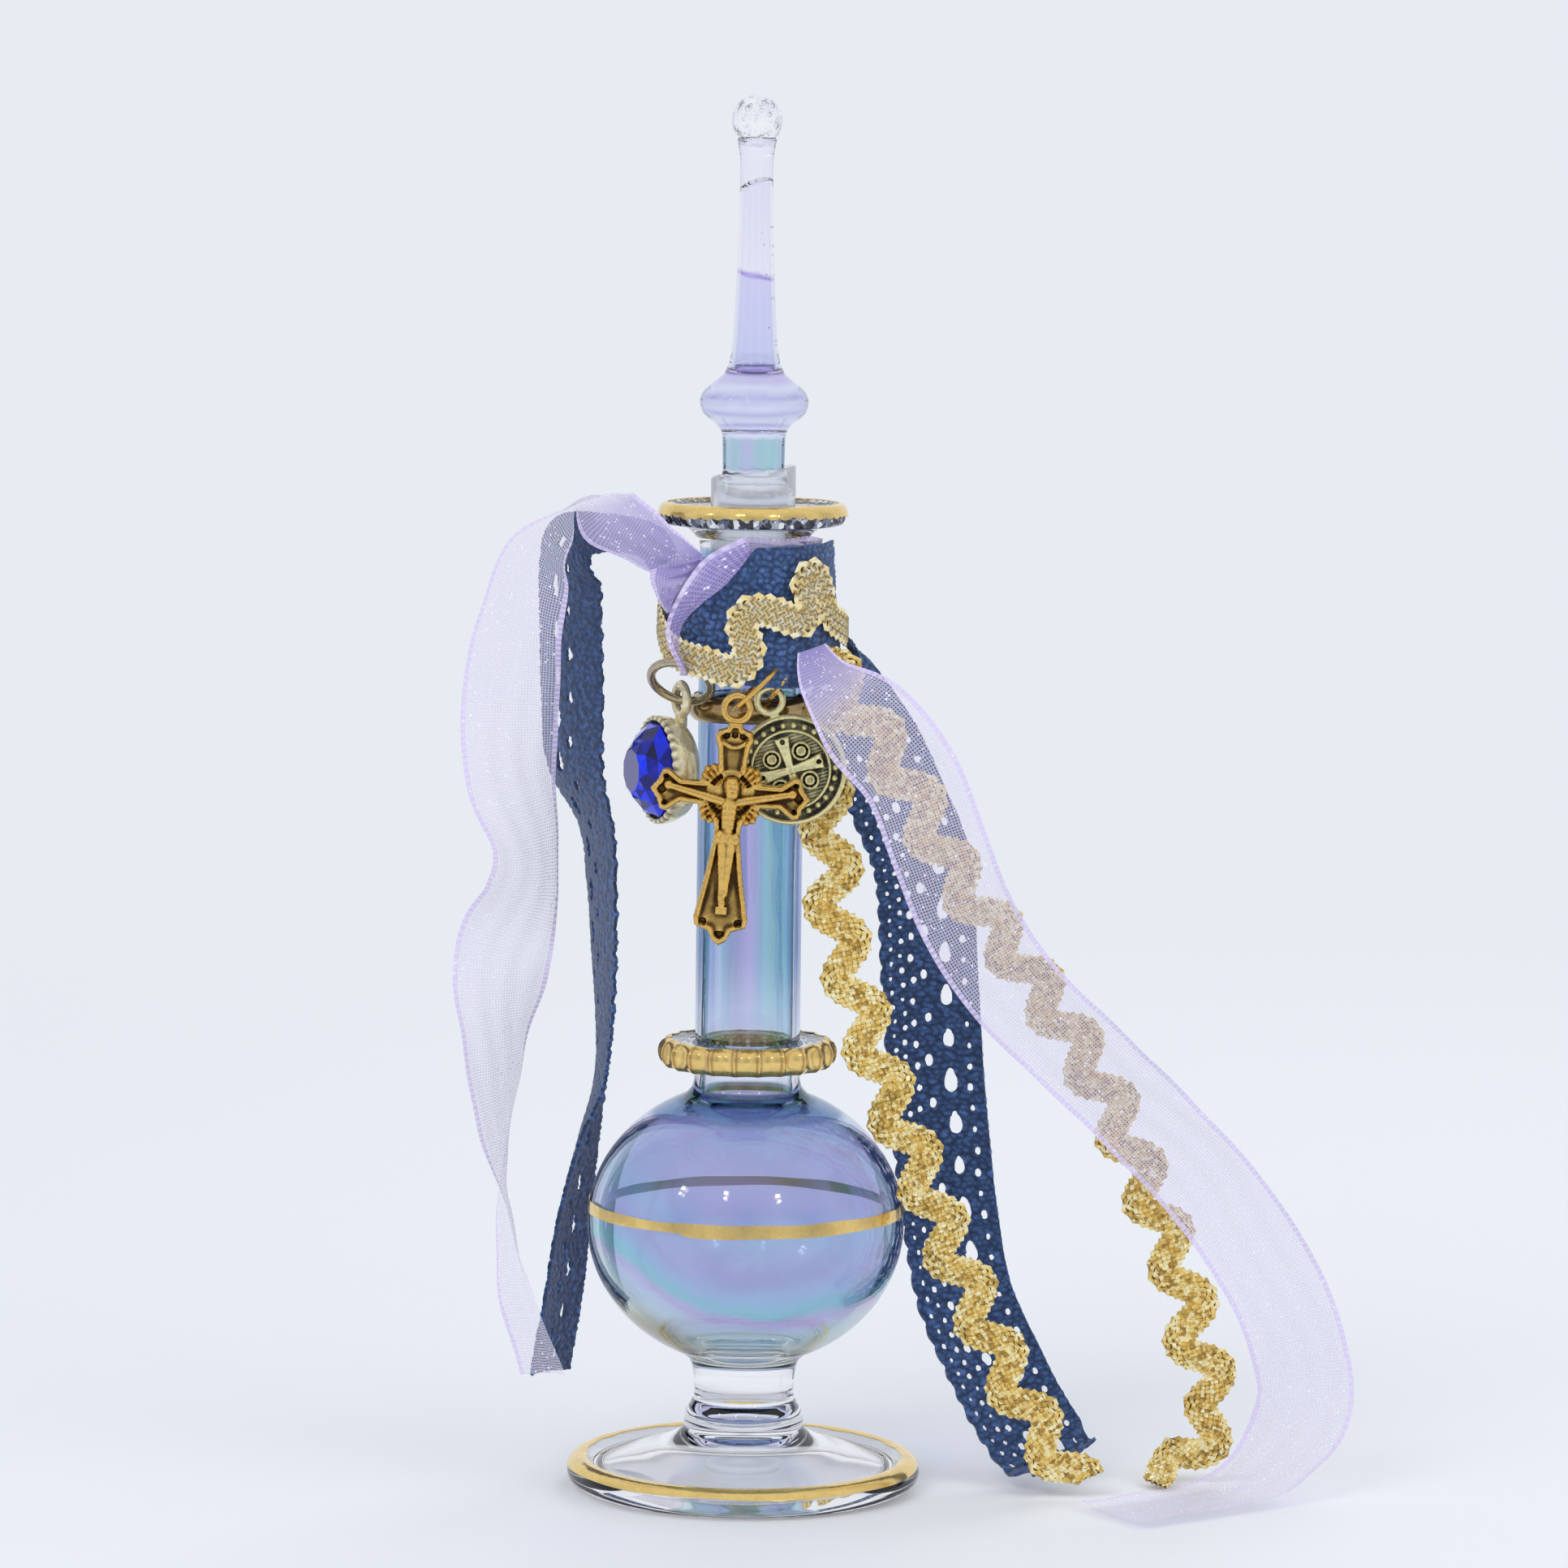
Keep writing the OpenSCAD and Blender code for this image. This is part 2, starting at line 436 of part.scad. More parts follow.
// The gem looks out to the left: its cup is turned from a profile that faces along its own axis.
module gem_place() translate([gem_bail_c[0], gem_bail_c[1], cup_z]) rotate([0, 0, gem_axis_yaw])
    rotate([0, 90, 0]) translate([0, 0, cup_front]) children();

module gem_cup() color([0.72, 0.68, 0.5]) {
    gem_place() rotate_extrude() polygon([[0, -cup_depth], [cup_r * 0.55, -cup_depth],
        [cup_r * 0.85, -cup_depth + 1], [cup_r, -cup_depth + 2.6], [cup_r, 0], [cup_r - cup_wall, 0],
        [cup_r - cup_wall, -cup_wall * 2], [0, -cup_wall * 2]]);
    translate(gem_bail_c) rotate([0, 90, gem_axis_yaw]) wire_ring(gem_bail_r, gem_bail_wire_r);
    translate([gem_bail_c[0], gem_bail_c[1], cup_z + cup_r * 0.75]) cylinder(r = gem_bail_foot_r, h = 1.7);
}

module gem_stone() color([0.05, 0.1, 0.8]) gem_place() {
    translate([0, 0, -cup_wall * 2 + fuse_gap]) cylinder(r = stone_r, h = cup_wall * 2 + 0.3, $fn = 64);
    translate([0, 0, 0.3 + fuse_gap - eps])
        cylinder(r1 = stone_r, r2 = stone_table_r, h = stone_h - 0.3, $fn = 8);
}

module crucifix_jump_ring() color([0.85, 0.6, 0.2]) translate(cross_ring_c) rotate([0, cross_ring_lean, 180])
    wire_ring(cross_ring_r, thin_wire_r);

module medal_jump_ring() color([0.85, 0.6, 0.2]) translate(medal_ring_c) rotate([0, medal_ring_lean, 180])
    wire_ring(medal_ring_r, thin_wire_r);

// Charms are drawn flat, with the eye's centre at the origin and the front towards +Z, then stood up.
module stand_up(c, turn) translate(c) rotate([0, turn, 0]) rotate([90, 0, 0]) children();
module eye() wire_ring(eye_r, eye_wire_r);

// Half of the cross's outline, from the eye down to the foot's point
cross_half = [[0.7, -1.7], [1, -2.4], [2.1, -2.8], [2.35, -3.6], [1.9, -5], [1.6, -8.2], [2.6, -9], [6, -9],
    [7.6, -7.8], [8.4, -8], [8.8, -9.2], [9.7, -10.4], [8.8, -11.6], [8.4, -12.8], [7.6, -13], [6, -11.8],
    [2.6, -12], [1.6, -14.5], [1.65, -16], [2.3, -20.5], [3.3, -25.6], [3.1, -26.6], [1.4, -27.2],
    [0.9, -28.3], [0, -28.9]];
module cross_outline() polygon(concat(cross_half,
    [for (i = [len(cross_half) - 2 : -1 : 0]) [-cross_half[i][0], cross_half[i][1]]]));

module limb(a, b, ra, rb) hull() {
    translate(a) sphere(ra, $fn = 16);
    translate(b) sphere(rb, $fn = 16);
}

module crucifix() color([0.8, 0.58, 0.22]) stand_up(cross_eye_c, cross_turn) {
    eye();
    difference() {
        translate([0, 0, -cross_t / 2]) union() {
            linear_extrude(cross_t) cross_outline();
            translate([0, -10.6, 0]) cylinder(r = 3.4, h = cross_t - relief);
            for (i = [0 : 15]) translate([0, -10.6, 0]) rotate([0, 0, i * 22.5])
                translate([3.4, 0, 0]) cylinder(r = 0.75, h = cross_t - relief, $fn = 24);
        }
        translate([0, 0, cross_t / 2 - relief]) {
            linear_extrude(1) polygon([[-1.3, -4.2], [1.3, -4.2], [0.3, -8], [-0.3, -8]]);
            linear_extrude(1) polygon([[-1.1, -19.5], [-2.3, -24.6], [-1.2, -24.6]]);
            linear_extrude(1) polygon([[1.1, -19.5], [2.3, -24.6], [1.2, -24.6]]);
            for (s = [-1, 1]) translate([s * 8.2, -10.4, 0]) cylinder(r = 0.5, h = 1, $fn = 24);
            for (x = [-2.1, 0, 2.1]) translate([x, -26.4 - (x == 0 ? 0.9 : 0), 0])
                cylinder(r = 0.4, h = 1, $fn = 24);
        }
    }
    translate([0, 0, cross_t / 2]) {
        translate([0.3, -9.7, 0.5]) sphere(0.95, $fn = 24);
        limb([0, -11.6, 0.1], [0, -17.2, 0.1], 1, 0.75);
        limb([-0.8, -11.4, 0], [-7.4, -9.9, -0.1], 0.55, 0.4);
        limb([0.8, -11.4, 0], [7.4, -9.9, -0.1], 0.55, 0.4);
        limb([0, -17.4, 0.1], [0, -23.6, -0.1], 0.85, 0.5);
    }
}

module medal() color([0.72, 0.66, 0.4]) stand_up(medal_eye_c, -medal_turn) {
    eye();
    translate([0, -8.8, -medal_t / 2]) {
        cylinder(r = medal_r, h = medal_t - relief);
        translate([0, 0, medal_t - relief - eps]) {
            difference() {
                cylinder(r = medal_r, h = relief + eps);
                translate([0, 0, -1]) cylinder(r = medal_r - 0.5, h = 3);
            }
            difference() {
                cylinder(r = medal_r - 2, h = relief + eps);
                translate([0, 0, -1]) cylinder(r = medal_r - 2.3, h = 3);
            }
            for (a = [0, 90]) rotate([0, 0, a]) translate([-0.75, -4.1, 0]) cube([1.5, 8.2, relief + eps]);
            for (a = [45 : 90 : 315]) rotate([0, 0, a]) translate([2.7, 0, 0])
                cylinder(r = 1, h = relief + eps, $fn = 32);
            for (i = [0 : 23]) rotate([0, 0, i * 15]) translate([medal_r - 1.25, 0, 0])
                cylinder(r = 0.36, h = relief + eps, $fn = 16);
        }
    }
    translate([0, -1.9, 0]) cube([1.2, 1.2, 0.8], center = true);
}

foot();
globe();
neck_tube();
lower_collar();
upper_collar();
lip();
foot_gilding();
globe_gilt_line();
lower_collar_gilding();
upper_collar_gilding();
lip_gilding();
sleeve();
stopper();
finial_ball();
ribbon_band();
lace_band();
ricrac_band();
ribbon_knot();
ribbon_loop();
ribbon_hanger();
ribbon_tail_left();
ribbon_tail_right();
lace_tail_left();
lace_tail_right();
ricrac_tail_front();
ricrac_tail_back();
gem_jump_ring();
gem_cup();
gem_stone();
crucifix_jump_ring();
crucifix();
medal_jump_ring();
medal();
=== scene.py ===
"""Holy water bottle: lustred blown glass with gilding, a sleeved stopper, a dressing of organza,
lace and ric-rac, and three charms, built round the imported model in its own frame."""
import math
from contextlib import contextmanager

import bpy
import numpy as np
from bpy.props import FloatProperty, FloatVectorProperty, IntProperty, PointerProperty
from mathutils import Matrix, Vector


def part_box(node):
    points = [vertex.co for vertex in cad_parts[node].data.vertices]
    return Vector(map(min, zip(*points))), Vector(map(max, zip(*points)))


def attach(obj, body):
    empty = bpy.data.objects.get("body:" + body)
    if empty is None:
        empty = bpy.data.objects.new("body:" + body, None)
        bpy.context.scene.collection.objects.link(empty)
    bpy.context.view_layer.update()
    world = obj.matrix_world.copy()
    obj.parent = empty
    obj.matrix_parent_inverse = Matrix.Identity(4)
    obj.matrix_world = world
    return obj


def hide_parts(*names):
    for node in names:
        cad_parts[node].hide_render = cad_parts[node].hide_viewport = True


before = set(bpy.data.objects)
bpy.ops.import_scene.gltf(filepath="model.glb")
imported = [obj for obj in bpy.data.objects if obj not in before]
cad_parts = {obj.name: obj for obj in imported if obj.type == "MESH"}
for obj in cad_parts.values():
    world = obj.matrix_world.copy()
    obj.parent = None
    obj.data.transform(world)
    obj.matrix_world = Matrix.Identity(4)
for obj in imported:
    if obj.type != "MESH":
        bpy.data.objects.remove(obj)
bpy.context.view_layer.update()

bl_info = {
    "name": "Holy water bottle",
    "version": (1, 0, 0),
    "blender": (4, 5, 0),
    "location": "3D View > Sidebar > Bottle",
    "description": "Dresses the packed bottle with glass, gilding, cloth and charms",
    "category": "Object",
}

MM = 0.001
TURN = math.tau
FINISHES = {}


def half_width(node):
    """Half of a node's width along X, in millimetres."""
    low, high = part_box(node)
    return (high[0] - low[0]) / 2 / MM


# Sizes and colours that a user would change

def size(name, description, value):
    return FloatProperty(name=name, description=description, default=value * MM, subtype="DISTANCE")


def paint(name, description, value):
    return FloatVectorProperty(name=name, description=description, default=value, size=3, min=0, max=1,
                               subtype="COLOR")


class BottleSizes(bpy.types.PropertyGroup):
    """Sizes of the glass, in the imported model's frame"""
    foot_r: size("Foot radius", "Over the rolled rim", half_width("foot"))
    globe_r: size("Globe radius", "At its widest", half_width("globe"))
    neck_r: size("Neck radius", "Outside of the tube", half_width("neck_tube"))
    lip_r: size("Lip radius", "Over the edge", half_width("lip"))
    collar_r: size("Collar radius", "Over the flutes of the lower collar", 10.95)
    upper_collar_r: size("Upper collar radius", "Over the ring", half_width("upper_collar"))
    knob_r: size("Knob radius", "Of the stopper", half_width("stopper"))
    ball_r: size("Ball radius", "Of the finial", half_width("finial_ball"))
    flutes: IntProperty(name="Flutes", description="Round the lower collar", default=22, min=12, max=36)
    seeds: IntProperty(name="Seeds", description="Air bubbles in the finial ball", default=96, min=0, max=200)


class DressingSizes(bpy.types.PropertyGroup):
    """Sizes of the cloth and braid"""
    ribbon_w: size("Ribbon width", "Of the organza", 12)
    lace_w: size("Lace width", "Of the crochet lace", 12.2)
    lace_t: size("Lace thickness", "Of the crochet lace", 0.45)
    braid_w: size("Braid width", "Of the ric-rac's strand", 4)
    braid_t: size("Braid thickness", "Of the ric-rac's strand", 0.7)
    wave_h: size("Wave height", "Of the ric-rac to each side", 1.9)
    wave_l: size("Wave length", "Of the ric-rac", 9.3)
    threads: IntProperty(name="Threads", description="In the ric-rac's braid", default=9, min=5, max=25)


class BottleColours(bpy.types.PropertyGroup):
    """Colours of the finishes"""
    lilac: paint("Lilac glass", "Main tint of the lustre", (0.54, 0.56, 0.78))
    sky: paint("Blue glass", "Second tint of the lustre", (0.49, 0.65, 0.81))
    rose: paint("Rose glass", "Third tint of the lustre", (0.74, 0.60, 0.85))
    aqua: paint("Aqua glass", "Bright tint of the lustre", (0.38, 0.78, 0.76))
    slate: paint("Slate glass", "Dark tint of the lustre", (0.15, 0.22, 0.42))
    gold: paint("Gold", "Painted gilding", (0.97, 0.71, 0.25))
    organza: paint("Organza", "Thread of the ribbon", (0.76, 0.72, 0.90))
    hem: paint("Hem", "Edge of the ribbon", (0.76, 0.65, 0.95))
    folds: paint("Folds", "Thread of the gathered ribbon", (0.60, 0.51, 0.85))
    navy: paint("Navy", "Yarn of the lace", (0.040, 0.085, 0.215))
    lurex: paint("Lurex", "Foil thread of the ric-rac", (0.86, 0.61, 0.16))
    cross_gold: paint("Crucifix gold", "Cast metal of the crucifix", (0.88, 0.56, 0.15))
    medal_gold: paint("Medal gold", "Cast metal of the medal", (1.0, 0.91, 0.48))
    wire_gold: paint("Wire gold", "Plated wire of the thin rings", (0.86, 0.53, 0.12))
    cup_metal: paint("Cup metal", "Pale metal of the cup and its ring", (1.0, 0.91, 0.60))
    cobalt: paint("Cobalt", "The stone", (0.004, 0.02, 0.72))


# Small helpers for shapes

def unit(v):
    return v / np.linalg.norm(v, axis=-1, keepdims=True)


def smooth(stations, n):
    """Points along an even curve through the given ones, n to a stretch."""
    p = np.asarray(stations, float)
    ends = np.vstack([p[:1], p, p[-1:]])
    t = np.arange(n)[:, None] / n
    runs = [0.5 * (2 * b + (c - a) * t + (2 * a - 5 * b + 4 * c - d) * t**2 + (3 * b - a - 3 * c + d) * t**3)
            for a, b, c, d in zip(ends, ends[1:], ends[2:], ends[3:])]
    return np.vstack(runs + [p[-1:]])


def arc(centre, r, low, high, n, h=None):
    """Points of a profile along a round or oval bend, between two angles in degrees."""
    a = np.radians(np.linspace(low, high, n))
    return np.stack([centre[0] + r * np.cos(a), centre[1] + (h or r) * np.sin(a)], axis=1)


def run(path):
    """How far along a path each of its points lies."""
    steps = np.linalg.norm(np.diff(path, axis=0), axis=1)
    return np.concatenate([[0], np.cumsum(steps)])


def along(path):
    ends = np.vstack([path[:1], path, path[-1:]])
    return unit(ends[2:] - ends[:-2])


def across(heading, towards):
    return unit(towards - np.sum(towards * heading, axis=1, keepdims=True) * heading)


def facing(yaw, tilt):
    a, b = np.radians(yaw), np.radians(tilt)
    return np.stack([np.cos(a) * np.cos(b), np.sin(a) * np.cos(b), np.sin(b) + 0 * a], axis=1)


def between(x, stations, values):
    """Values at x, read between the stations' values, which may be vectors."""
    values = np.asarray(values, float)
    if values.ndim == 1:
        return np.interp(x, stations, values)
    return np.stack([np.interp(x, stations, column) for column in values.T], axis=1)


def step(low, high, x):
    """A soft step from 0 at low to 1 at high."""
    t = np.clip((x - low) / (high - low), 0, 1)
    return t * t * (3 - 2 * t)


def scatter(k, salt):
    """A fixed number from 0 to 1 that looks like chance, for each whole number."""
    s = np.sin(np.asarray(k, float) * 12.9898 + salt * 78.233) * 43758.5453
    return s - np.floor(s)


def lumps(x, y, pitch):
    """Loops of yarn in rows that lean this way and that, a little out of line, from 0 to 1."""
    v = y / pitch
    total = np.zeros_like(v)
    for i in (-1, 0, 1):
        for j in (-1, 0, 1):
            cv = np.floor(v) + j
            u = x / pitch + 0.5 * (cv % 2)
            cu = np.floor(u) + i
            k = cu * 57 + cv * 131
            du = u - cu - 0.5 - 0.6 * (scatter(k, 1) - 0.5)
            dv = v - cv - 0.5 - 0.6 * (scatter(k, 2) - 0.5)
            lean = np.where(cv % 2, 0.7, -0.7)
            total += (0.55 + 0.45 * scatter(k, 3)) * np.exp(-3.2 * (du + lean * dv)**2 - 8.0 * (dv - lean * du)**2)
    return np.clip(total, 0, 1)


# Small helpers for meshes

def start(add, name, **sizes):
    """Adds a primitive with nothing else selected, and names it."""
    bpy.ops.object.select_all(action="DESELECT")
    add(**sizes)
    piece = bpy.context.object
    piece.name = name
    piece.data.name = name
    return piece


@contextmanager
def editing(piece, kind="VERT"):
    bpy.context.view_layer.objects.active = piece
    bpy.context.tool_settings.mesh_select_mode = (kind == "VERT", kind == "EDGE", kind == "FACE")
    bpy.ops.object.mode_set(mode="EDIT")
    yield
    bpy.ops.object.mode_set(mode="OBJECT")


def points(piece):
    co = np.empty(len(piece.data.vertices) * 3, np.float32)
    piece.data.vertices.foreach_get("co", co)
    return co.reshape(-1, 3).astype(float)


def set_points(piece, co):
    piece.data.vertices.foreach_set("co", np.asarray(co, np.float32).ravel())
    piece.data.update()


def note(piece, name, values):
    """Keeps a number or a vector for each point, for the materials to read."""
    values = np.asarray(values, np.float32)
    kind, key = ("FLOAT_VECTOR", "vector") if values.ndim == 2 else ("FLOAT", "value")
    piece.data.attributes.new(name, kind, "POINT").data.foreach_set(key, values.ravel())


def modify(piece, kind, **settings):
    """Adds a modifier and applies it."""
    bpy.context.view_layer.objects.active = piece
    modifier = piece.modifiers.new(kind.title(), kind)
    for key, value in settings.items():
        setattr(modifier, key, value)
    bpy.ops.object.modifier_apply(modifier=modifier.name)


def tidy_faces(piece, reach=1e-6):
    with editing(piece):
        bpy.ops.mesh.select_all(action="SELECT")
        bpy.ops.mesh.remove_doubles(threshold=reach)
        bpy.ops.mesh.normals_make_consistent(inside=False)


def join(piece, *others):
    bpy.ops.object.select_all(action="DESELECT")
    for other in (*others, piece):
        other.select_set(True)
    bpy.context.view_layer.objects.active = piece
    bpy.ops.object.join()
    return piece


def dress(piece, body, slot, finish, *nodes, angle=35):
    """Gives a finished piece its material, its body and the nodes that it stands for."""
    piece.data.materials.clear()
    piece.data.materials.append(FINISHES[finish])
    bpy.ops.object.select_all(action="DESELECT")
    piece.select_set(True)
    bpy.context.view_layer.objects.active = piece
    bpy.ops.object.shade_smooth_by_angle(angle=math.radians(angle))
    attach(piece, body)
    if nodes:
        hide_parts(*nodes)
    return piece


def repaint(piece, finish, choose):
    """Gives another finish to the faces that choose picks by their radius and height in millimetres."""
    mesh = piece.data
    mesh.materials.append(FINISHES[finish])
    middle = np.empty(len(mesh.polygons) * 3, np.float32)
    mesh.polygons.foreach_get("center", middle)
    x, y, z = middle.reshape(-1, 3).T / MM
    slots = np.empty(len(mesh.polygons), np.int32)
    mesh.polygons.foreach_get("material_index", slots)
    slots[choose(np.hypot(x, y), z)] = len(mesh.materials) - 1
    mesh.polygons.foreach_set("material_index", slots)


def turned(name, profile, steps):
    """Draws a profile of radius and height in millimetres point by point, and spins it about the Z axis."""
    piece = start(bpy.ops.mesh.primitive_plane_add, name, size=MM)
    spots = [Vector((r, 0, z)) * MM for r, z in profile]
    with editing(piece):
        bpy.ops.mesh.select_all(action="SELECT")
        bpy.ops.mesh.merge(type="CENTER")
        bpy.ops.transform.translate(value=spots[0])
        for here, there in zip(spots, spots[1:]):
            bpy.ops.mesh.extrude_vertices_move(TRANSFORM_OT_translate={"value": there - here})
        bpy.ops.mesh.select_all(action="SELECT")
        bpy.ops.mesh.spin(steps=steps, angle=TURN, center=(0, 0, 0), axis=(0, 0, 1))
    tidy_faces(piece)
    return piece


def polar(piece, centre=(0, 0)):
    """Each point's radius, way round from the front and height, in millimetres and radians."""
    co = points(piece) / MM
    x, y = co[:, 0] - centre[0], co[:, 1] - centre[1]
    return np.hypot(x, y), np.arctan2(x, -y), co[:, 2]


def from_polar(piece, r, a, z, centre=(0, 0)):
    co = np.stack([r * np.sin(a) + centre[0], -r * np.cos(a) + centre[1], z], axis=1)
    set_points(piece, co * MM)


def grid(name, columns, rows):
    """A grid of faces, and each point's share of the way across and along it."""
    piece = start(bpy.ops.mesh.primitive_grid_add, name, x_subdivisions=columns, y_subdivisions=rows, size=1)
    co = points(piece)
    return piece, co[:, 0] + 0.5, co[:, 1] + 0.5


def cut(piece, depth, reach):
    """Takes out faces where depth is over zero, in flat millimetres, and draws the new edge onto its line."""
    mesh = piece.data
    co = points(piece)
    corners = np.empty(len(mesh.loops), np.int32)
    mesh.loops.foreach_get("vertex_index", corners)
    middle = co[corners.reshape(-1, 4)].mean(axis=1)
    out = depth(middle[:, 0], middle[:, 1]) > 0
    mesh.vertices.foreach_set("select", np.zeros(len(mesh.vertices), bool))
    mesh.edges.foreach_set("select", np.zeros(len(mesh.edges), bool))
    mesh.polygons.foreach_set("select", out)
    with editing(piece, "FACE"):
        bpy.ops.mesh.delete(type="FACE")
        bpy.ops.mesh.select_all(action="DESELECT")
    co = points(piece)
    ends = np.empty(len(mesh.edges) * 2, np.int32)
    mesh.edges.foreach_get("vertices", ends)
    uses = np.empty(len(mesh.loops), np.int32)
    mesh.loops.foreach_get("edge_index", uses)
    open_edges = np.bincount(uses, minlength=len(mesh.edges)) == 1
    rim = np.unique(ends.reshape(-1, 2)[open_edges])
    for _ in range(2):
        x, y = co[rim, 0], co[rim, 1]
        e = reach * 0.1
        d = depth(x, y)
        slope = np.stack([depth(x + e, y) - d, depth(x, y + e) - d], axis=1) / e
        near = np.abs(d) < reach * 1.5
        shift = np.where(near, d, 0)[:, None] * slope / np.maximum(np.sum(slope**2, axis=1, keepdims=True), 0.2)
        co[rim, :2] -= np.clip(shift, -reach * 0.7, reach * 0.7)
    set_points(piece, co)


# Shader nodes

def node(tree, kind, settings=None, inputs=None):
    """Adds a node: settings are its own, inputs are values or sockets to link."""
    made = tree.nodes.new("ShaderNode" + kind)
    for key, value in (settings or {}).items():
        setattr(made, key, value)
    for key, value in (inputs or {}).items():
        if isinstance(value, bpy.types.NodeSocket):
            tree.links.new(value, made.inputs[key])
        else:
            made.inputs[key].default_value = value
    return made


def sums(tree, operation, a, b=0.0, clamp=False):
    return node(tree, "Math", {"operation": operation, "use_clamp": clamp}, {0: a, 1: b}).outputs[0]


def blend(tree, share, a, b):
    return node(tree, "Mix", {"data_type": "RGBA"}, {0: share, 6: a, 7: b}).outputs[2]


def soft(tree, value, low, high, out_low=0.0, out_high=1.0):
    return node(tree, "MapRange", {"interpolation_type": "SMOOTHSTEP"},
                {0: value, 1: low, 2: high, 3: out_low, 4: out_high}).outputs[0]


def ramp(tree, value, stops):
    """A colour ramp from (place, colour) stops."""
    made = node(tree, "ValToRGB", None, {0: value})
    bar = made.color_ramp.elements
    while len(bar) < len(stops):
        bar.new(0.5)
    for element, (place, shade) in zip(bar, stops):
        element.position = place
        element.color = (*shade, 1)
    return made.outputs[0]


def noise(tree, place, scale, detail=2.0):
    return node(tree, "TexNoise", None, {"Vector": place, "Scale": scale, "Detail": detail}).outputs[0]


def stretch(tree, place, scale):
    return node(tree, "Mapping", None, {"Vector": place, "Scale": scale}).outputs[0]


def here(tree):
    return node(tree, "TexCoord").outputs["Object"]


def attribute(tree, name, output="Vector"):
    return node(tree, "Attribute", {"attribute_name": name}).outputs[output]


def split(tree, vector):
    return node(tree, "SeparateXYZ", None, {0: vector}).outputs


def new_group(name, takes, gives):
    """A node group with named sockets, and its two ends."""
    tree = bpy.data.node_groups.new(name, "ShaderNodeTree")
    for socket, kind, value in takes:
        made = tree.interface.new_socket(socket, in_out="INPUT", socket_type="NodeSocket" + kind)
        made.default_value = value
    for socket, kind in gives:
        tree.interface.new_socket(socket, in_out="OUTPUT", socket_type="NodeSocket" + kind)
    return tree, tree.nodes.new("NodeGroupInput").outputs, tree.nodes.new("NodeGroupOutput").inputs


def use_group(tree, name, inputs):
    return node(tree, "Group", {"node_tree": bpy.data.node_groups[name]}, inputs).outputs


def finish_of(name, **sockets):
    """A new material with constant values set on its shader's own sockets."""
    made = bpy.data.materials.new("bottle_" + name)
    made.use_nodes = True
    FINISHES[name] = made
    shader = made.node_tree.nodes["Principled BSDF"]
    for key, value in sockets.items():
        shader.inputs[key.replace("_", " ")].default_value = value
    return made.node_tree, shader


def opaque(colour):
    return (*colour, 1)


def bump(tree, shader, height, distance, strength=1.0):
    made = node(tree, "Bump", None, {"Strength": strength, "Distance": distance, "Height": height})
    tree.links.new(made.outputs[0], shader.inputs["Normal"])


def clear_shadow(tree, shader, tint):
    """Lets light through to the floor behind clear glass."""
    path = node(tree, "LightPath")
    clear = node(tree, "BsdfTransparent", None, {0: opaque(tint)})
    both = node(tree, "MixShader", None, {0: path.outputs["Is Shadow Ray"], 1: shader.outputs[0],
                                          2: clear.outputs[0]})
    tree.links.new(both.outputs[0], tree.nodes["Material Output"].inputs[0])


def make_patina_and_shade():
    tree, takes, gives = new_group(
        "PatinaAndShade", [("Metal", "Color", (1, 1, 1, 1)), ("TarnishAndShade", "Color", (0, 0, 0, 1)), ("Recess", "Float", 0.0)],
        [("Color", "Color"), ("Roughness", "Float"), ("Height", "Float")])
    grain = noise(tree, here(tree), 2500.0, 4.0)
    blotch = noise(tree, here(tree), 420.0)
    # Recess darkens towards the tarnish colour: tarnish in the hollows of the castings and the cup, painted shade on
    # the flute sides of the lower collar.
    dark = sums(tree, "ADD", takes["Recess"], sums(tree, "MULTIPLY", sums(tree, "SUBTRACT", blotch, 0.55), 0.6), True)
    metal = blend(tree, sums(tree, "MULTIPLY", grain, 0.3), takes["Metal"], takes["TarnishAndShade"])
    tree.links.new(blend(tree, dark, metal, takes["TarnishAndShade"]), gives["Color"])
    tree.links.new(sums(tree, "ADD", sums(tree, "MULTIPLY", grain, 0.25), sums(tree, "MULTIPLY", dark, 0.4)),
                   gives["Roughness"])
    tree.links.new(grain, gives["Height"])


def make_weave():
    tree, takes, gives = new_group(
        "Weave", [("Flat", "Vector", (0, 0, 0)), ("Pitch", "Float", 0.36), ("Half", "Float", 6.0)],
        [("Cover", "Float"), ("Hem", "Float"), ("Glint", "Float")])
    x, y, _ = split(tree, takes["Flat"])
    bars = []
    for line in (x, y):
        wave = sums(tree, "PINGPONG", sums(tree, "DIVIDE", line, takes["Pitch"]), 0.5)
        bars.append(soft(tree, wave, 0.14, 0.26, 1.0, 0.0))
    thread = sums(tree, "MAXIMUM", *bars)
    edge = sums(tree, "SUBTRACT", takes["Half"], sums(tree, "ABSOLUTE", x))
    stitch = soft(tree, sums(tree, "PINGPONG", sums(tree, "DIVIDE", y, takes["Pitch"]), 1.0), 0.2, 0.8, 0.65, 0.95)
    hem = sums(tree, "MULTIPLY", soft(tree, edge, 0.55, 0.75, 1.0, 0.0), stitch)
    tree.links.new(hem, gives["Hem"])
    tree.links.new(sums(tree, "MAXIMUM", sums(tree, "MULTIPLY", thread, 0.66), hem), gives["Cover"])
    cells = node(tree, "TexVoronoi", None, {"Vector": takes["Flat"], "Scale": 4.6}).outputs["Color"]
    tree.links.new(soft(tree, split(tree, cells)[0], 0.97, 0.99), gives["Glint"])


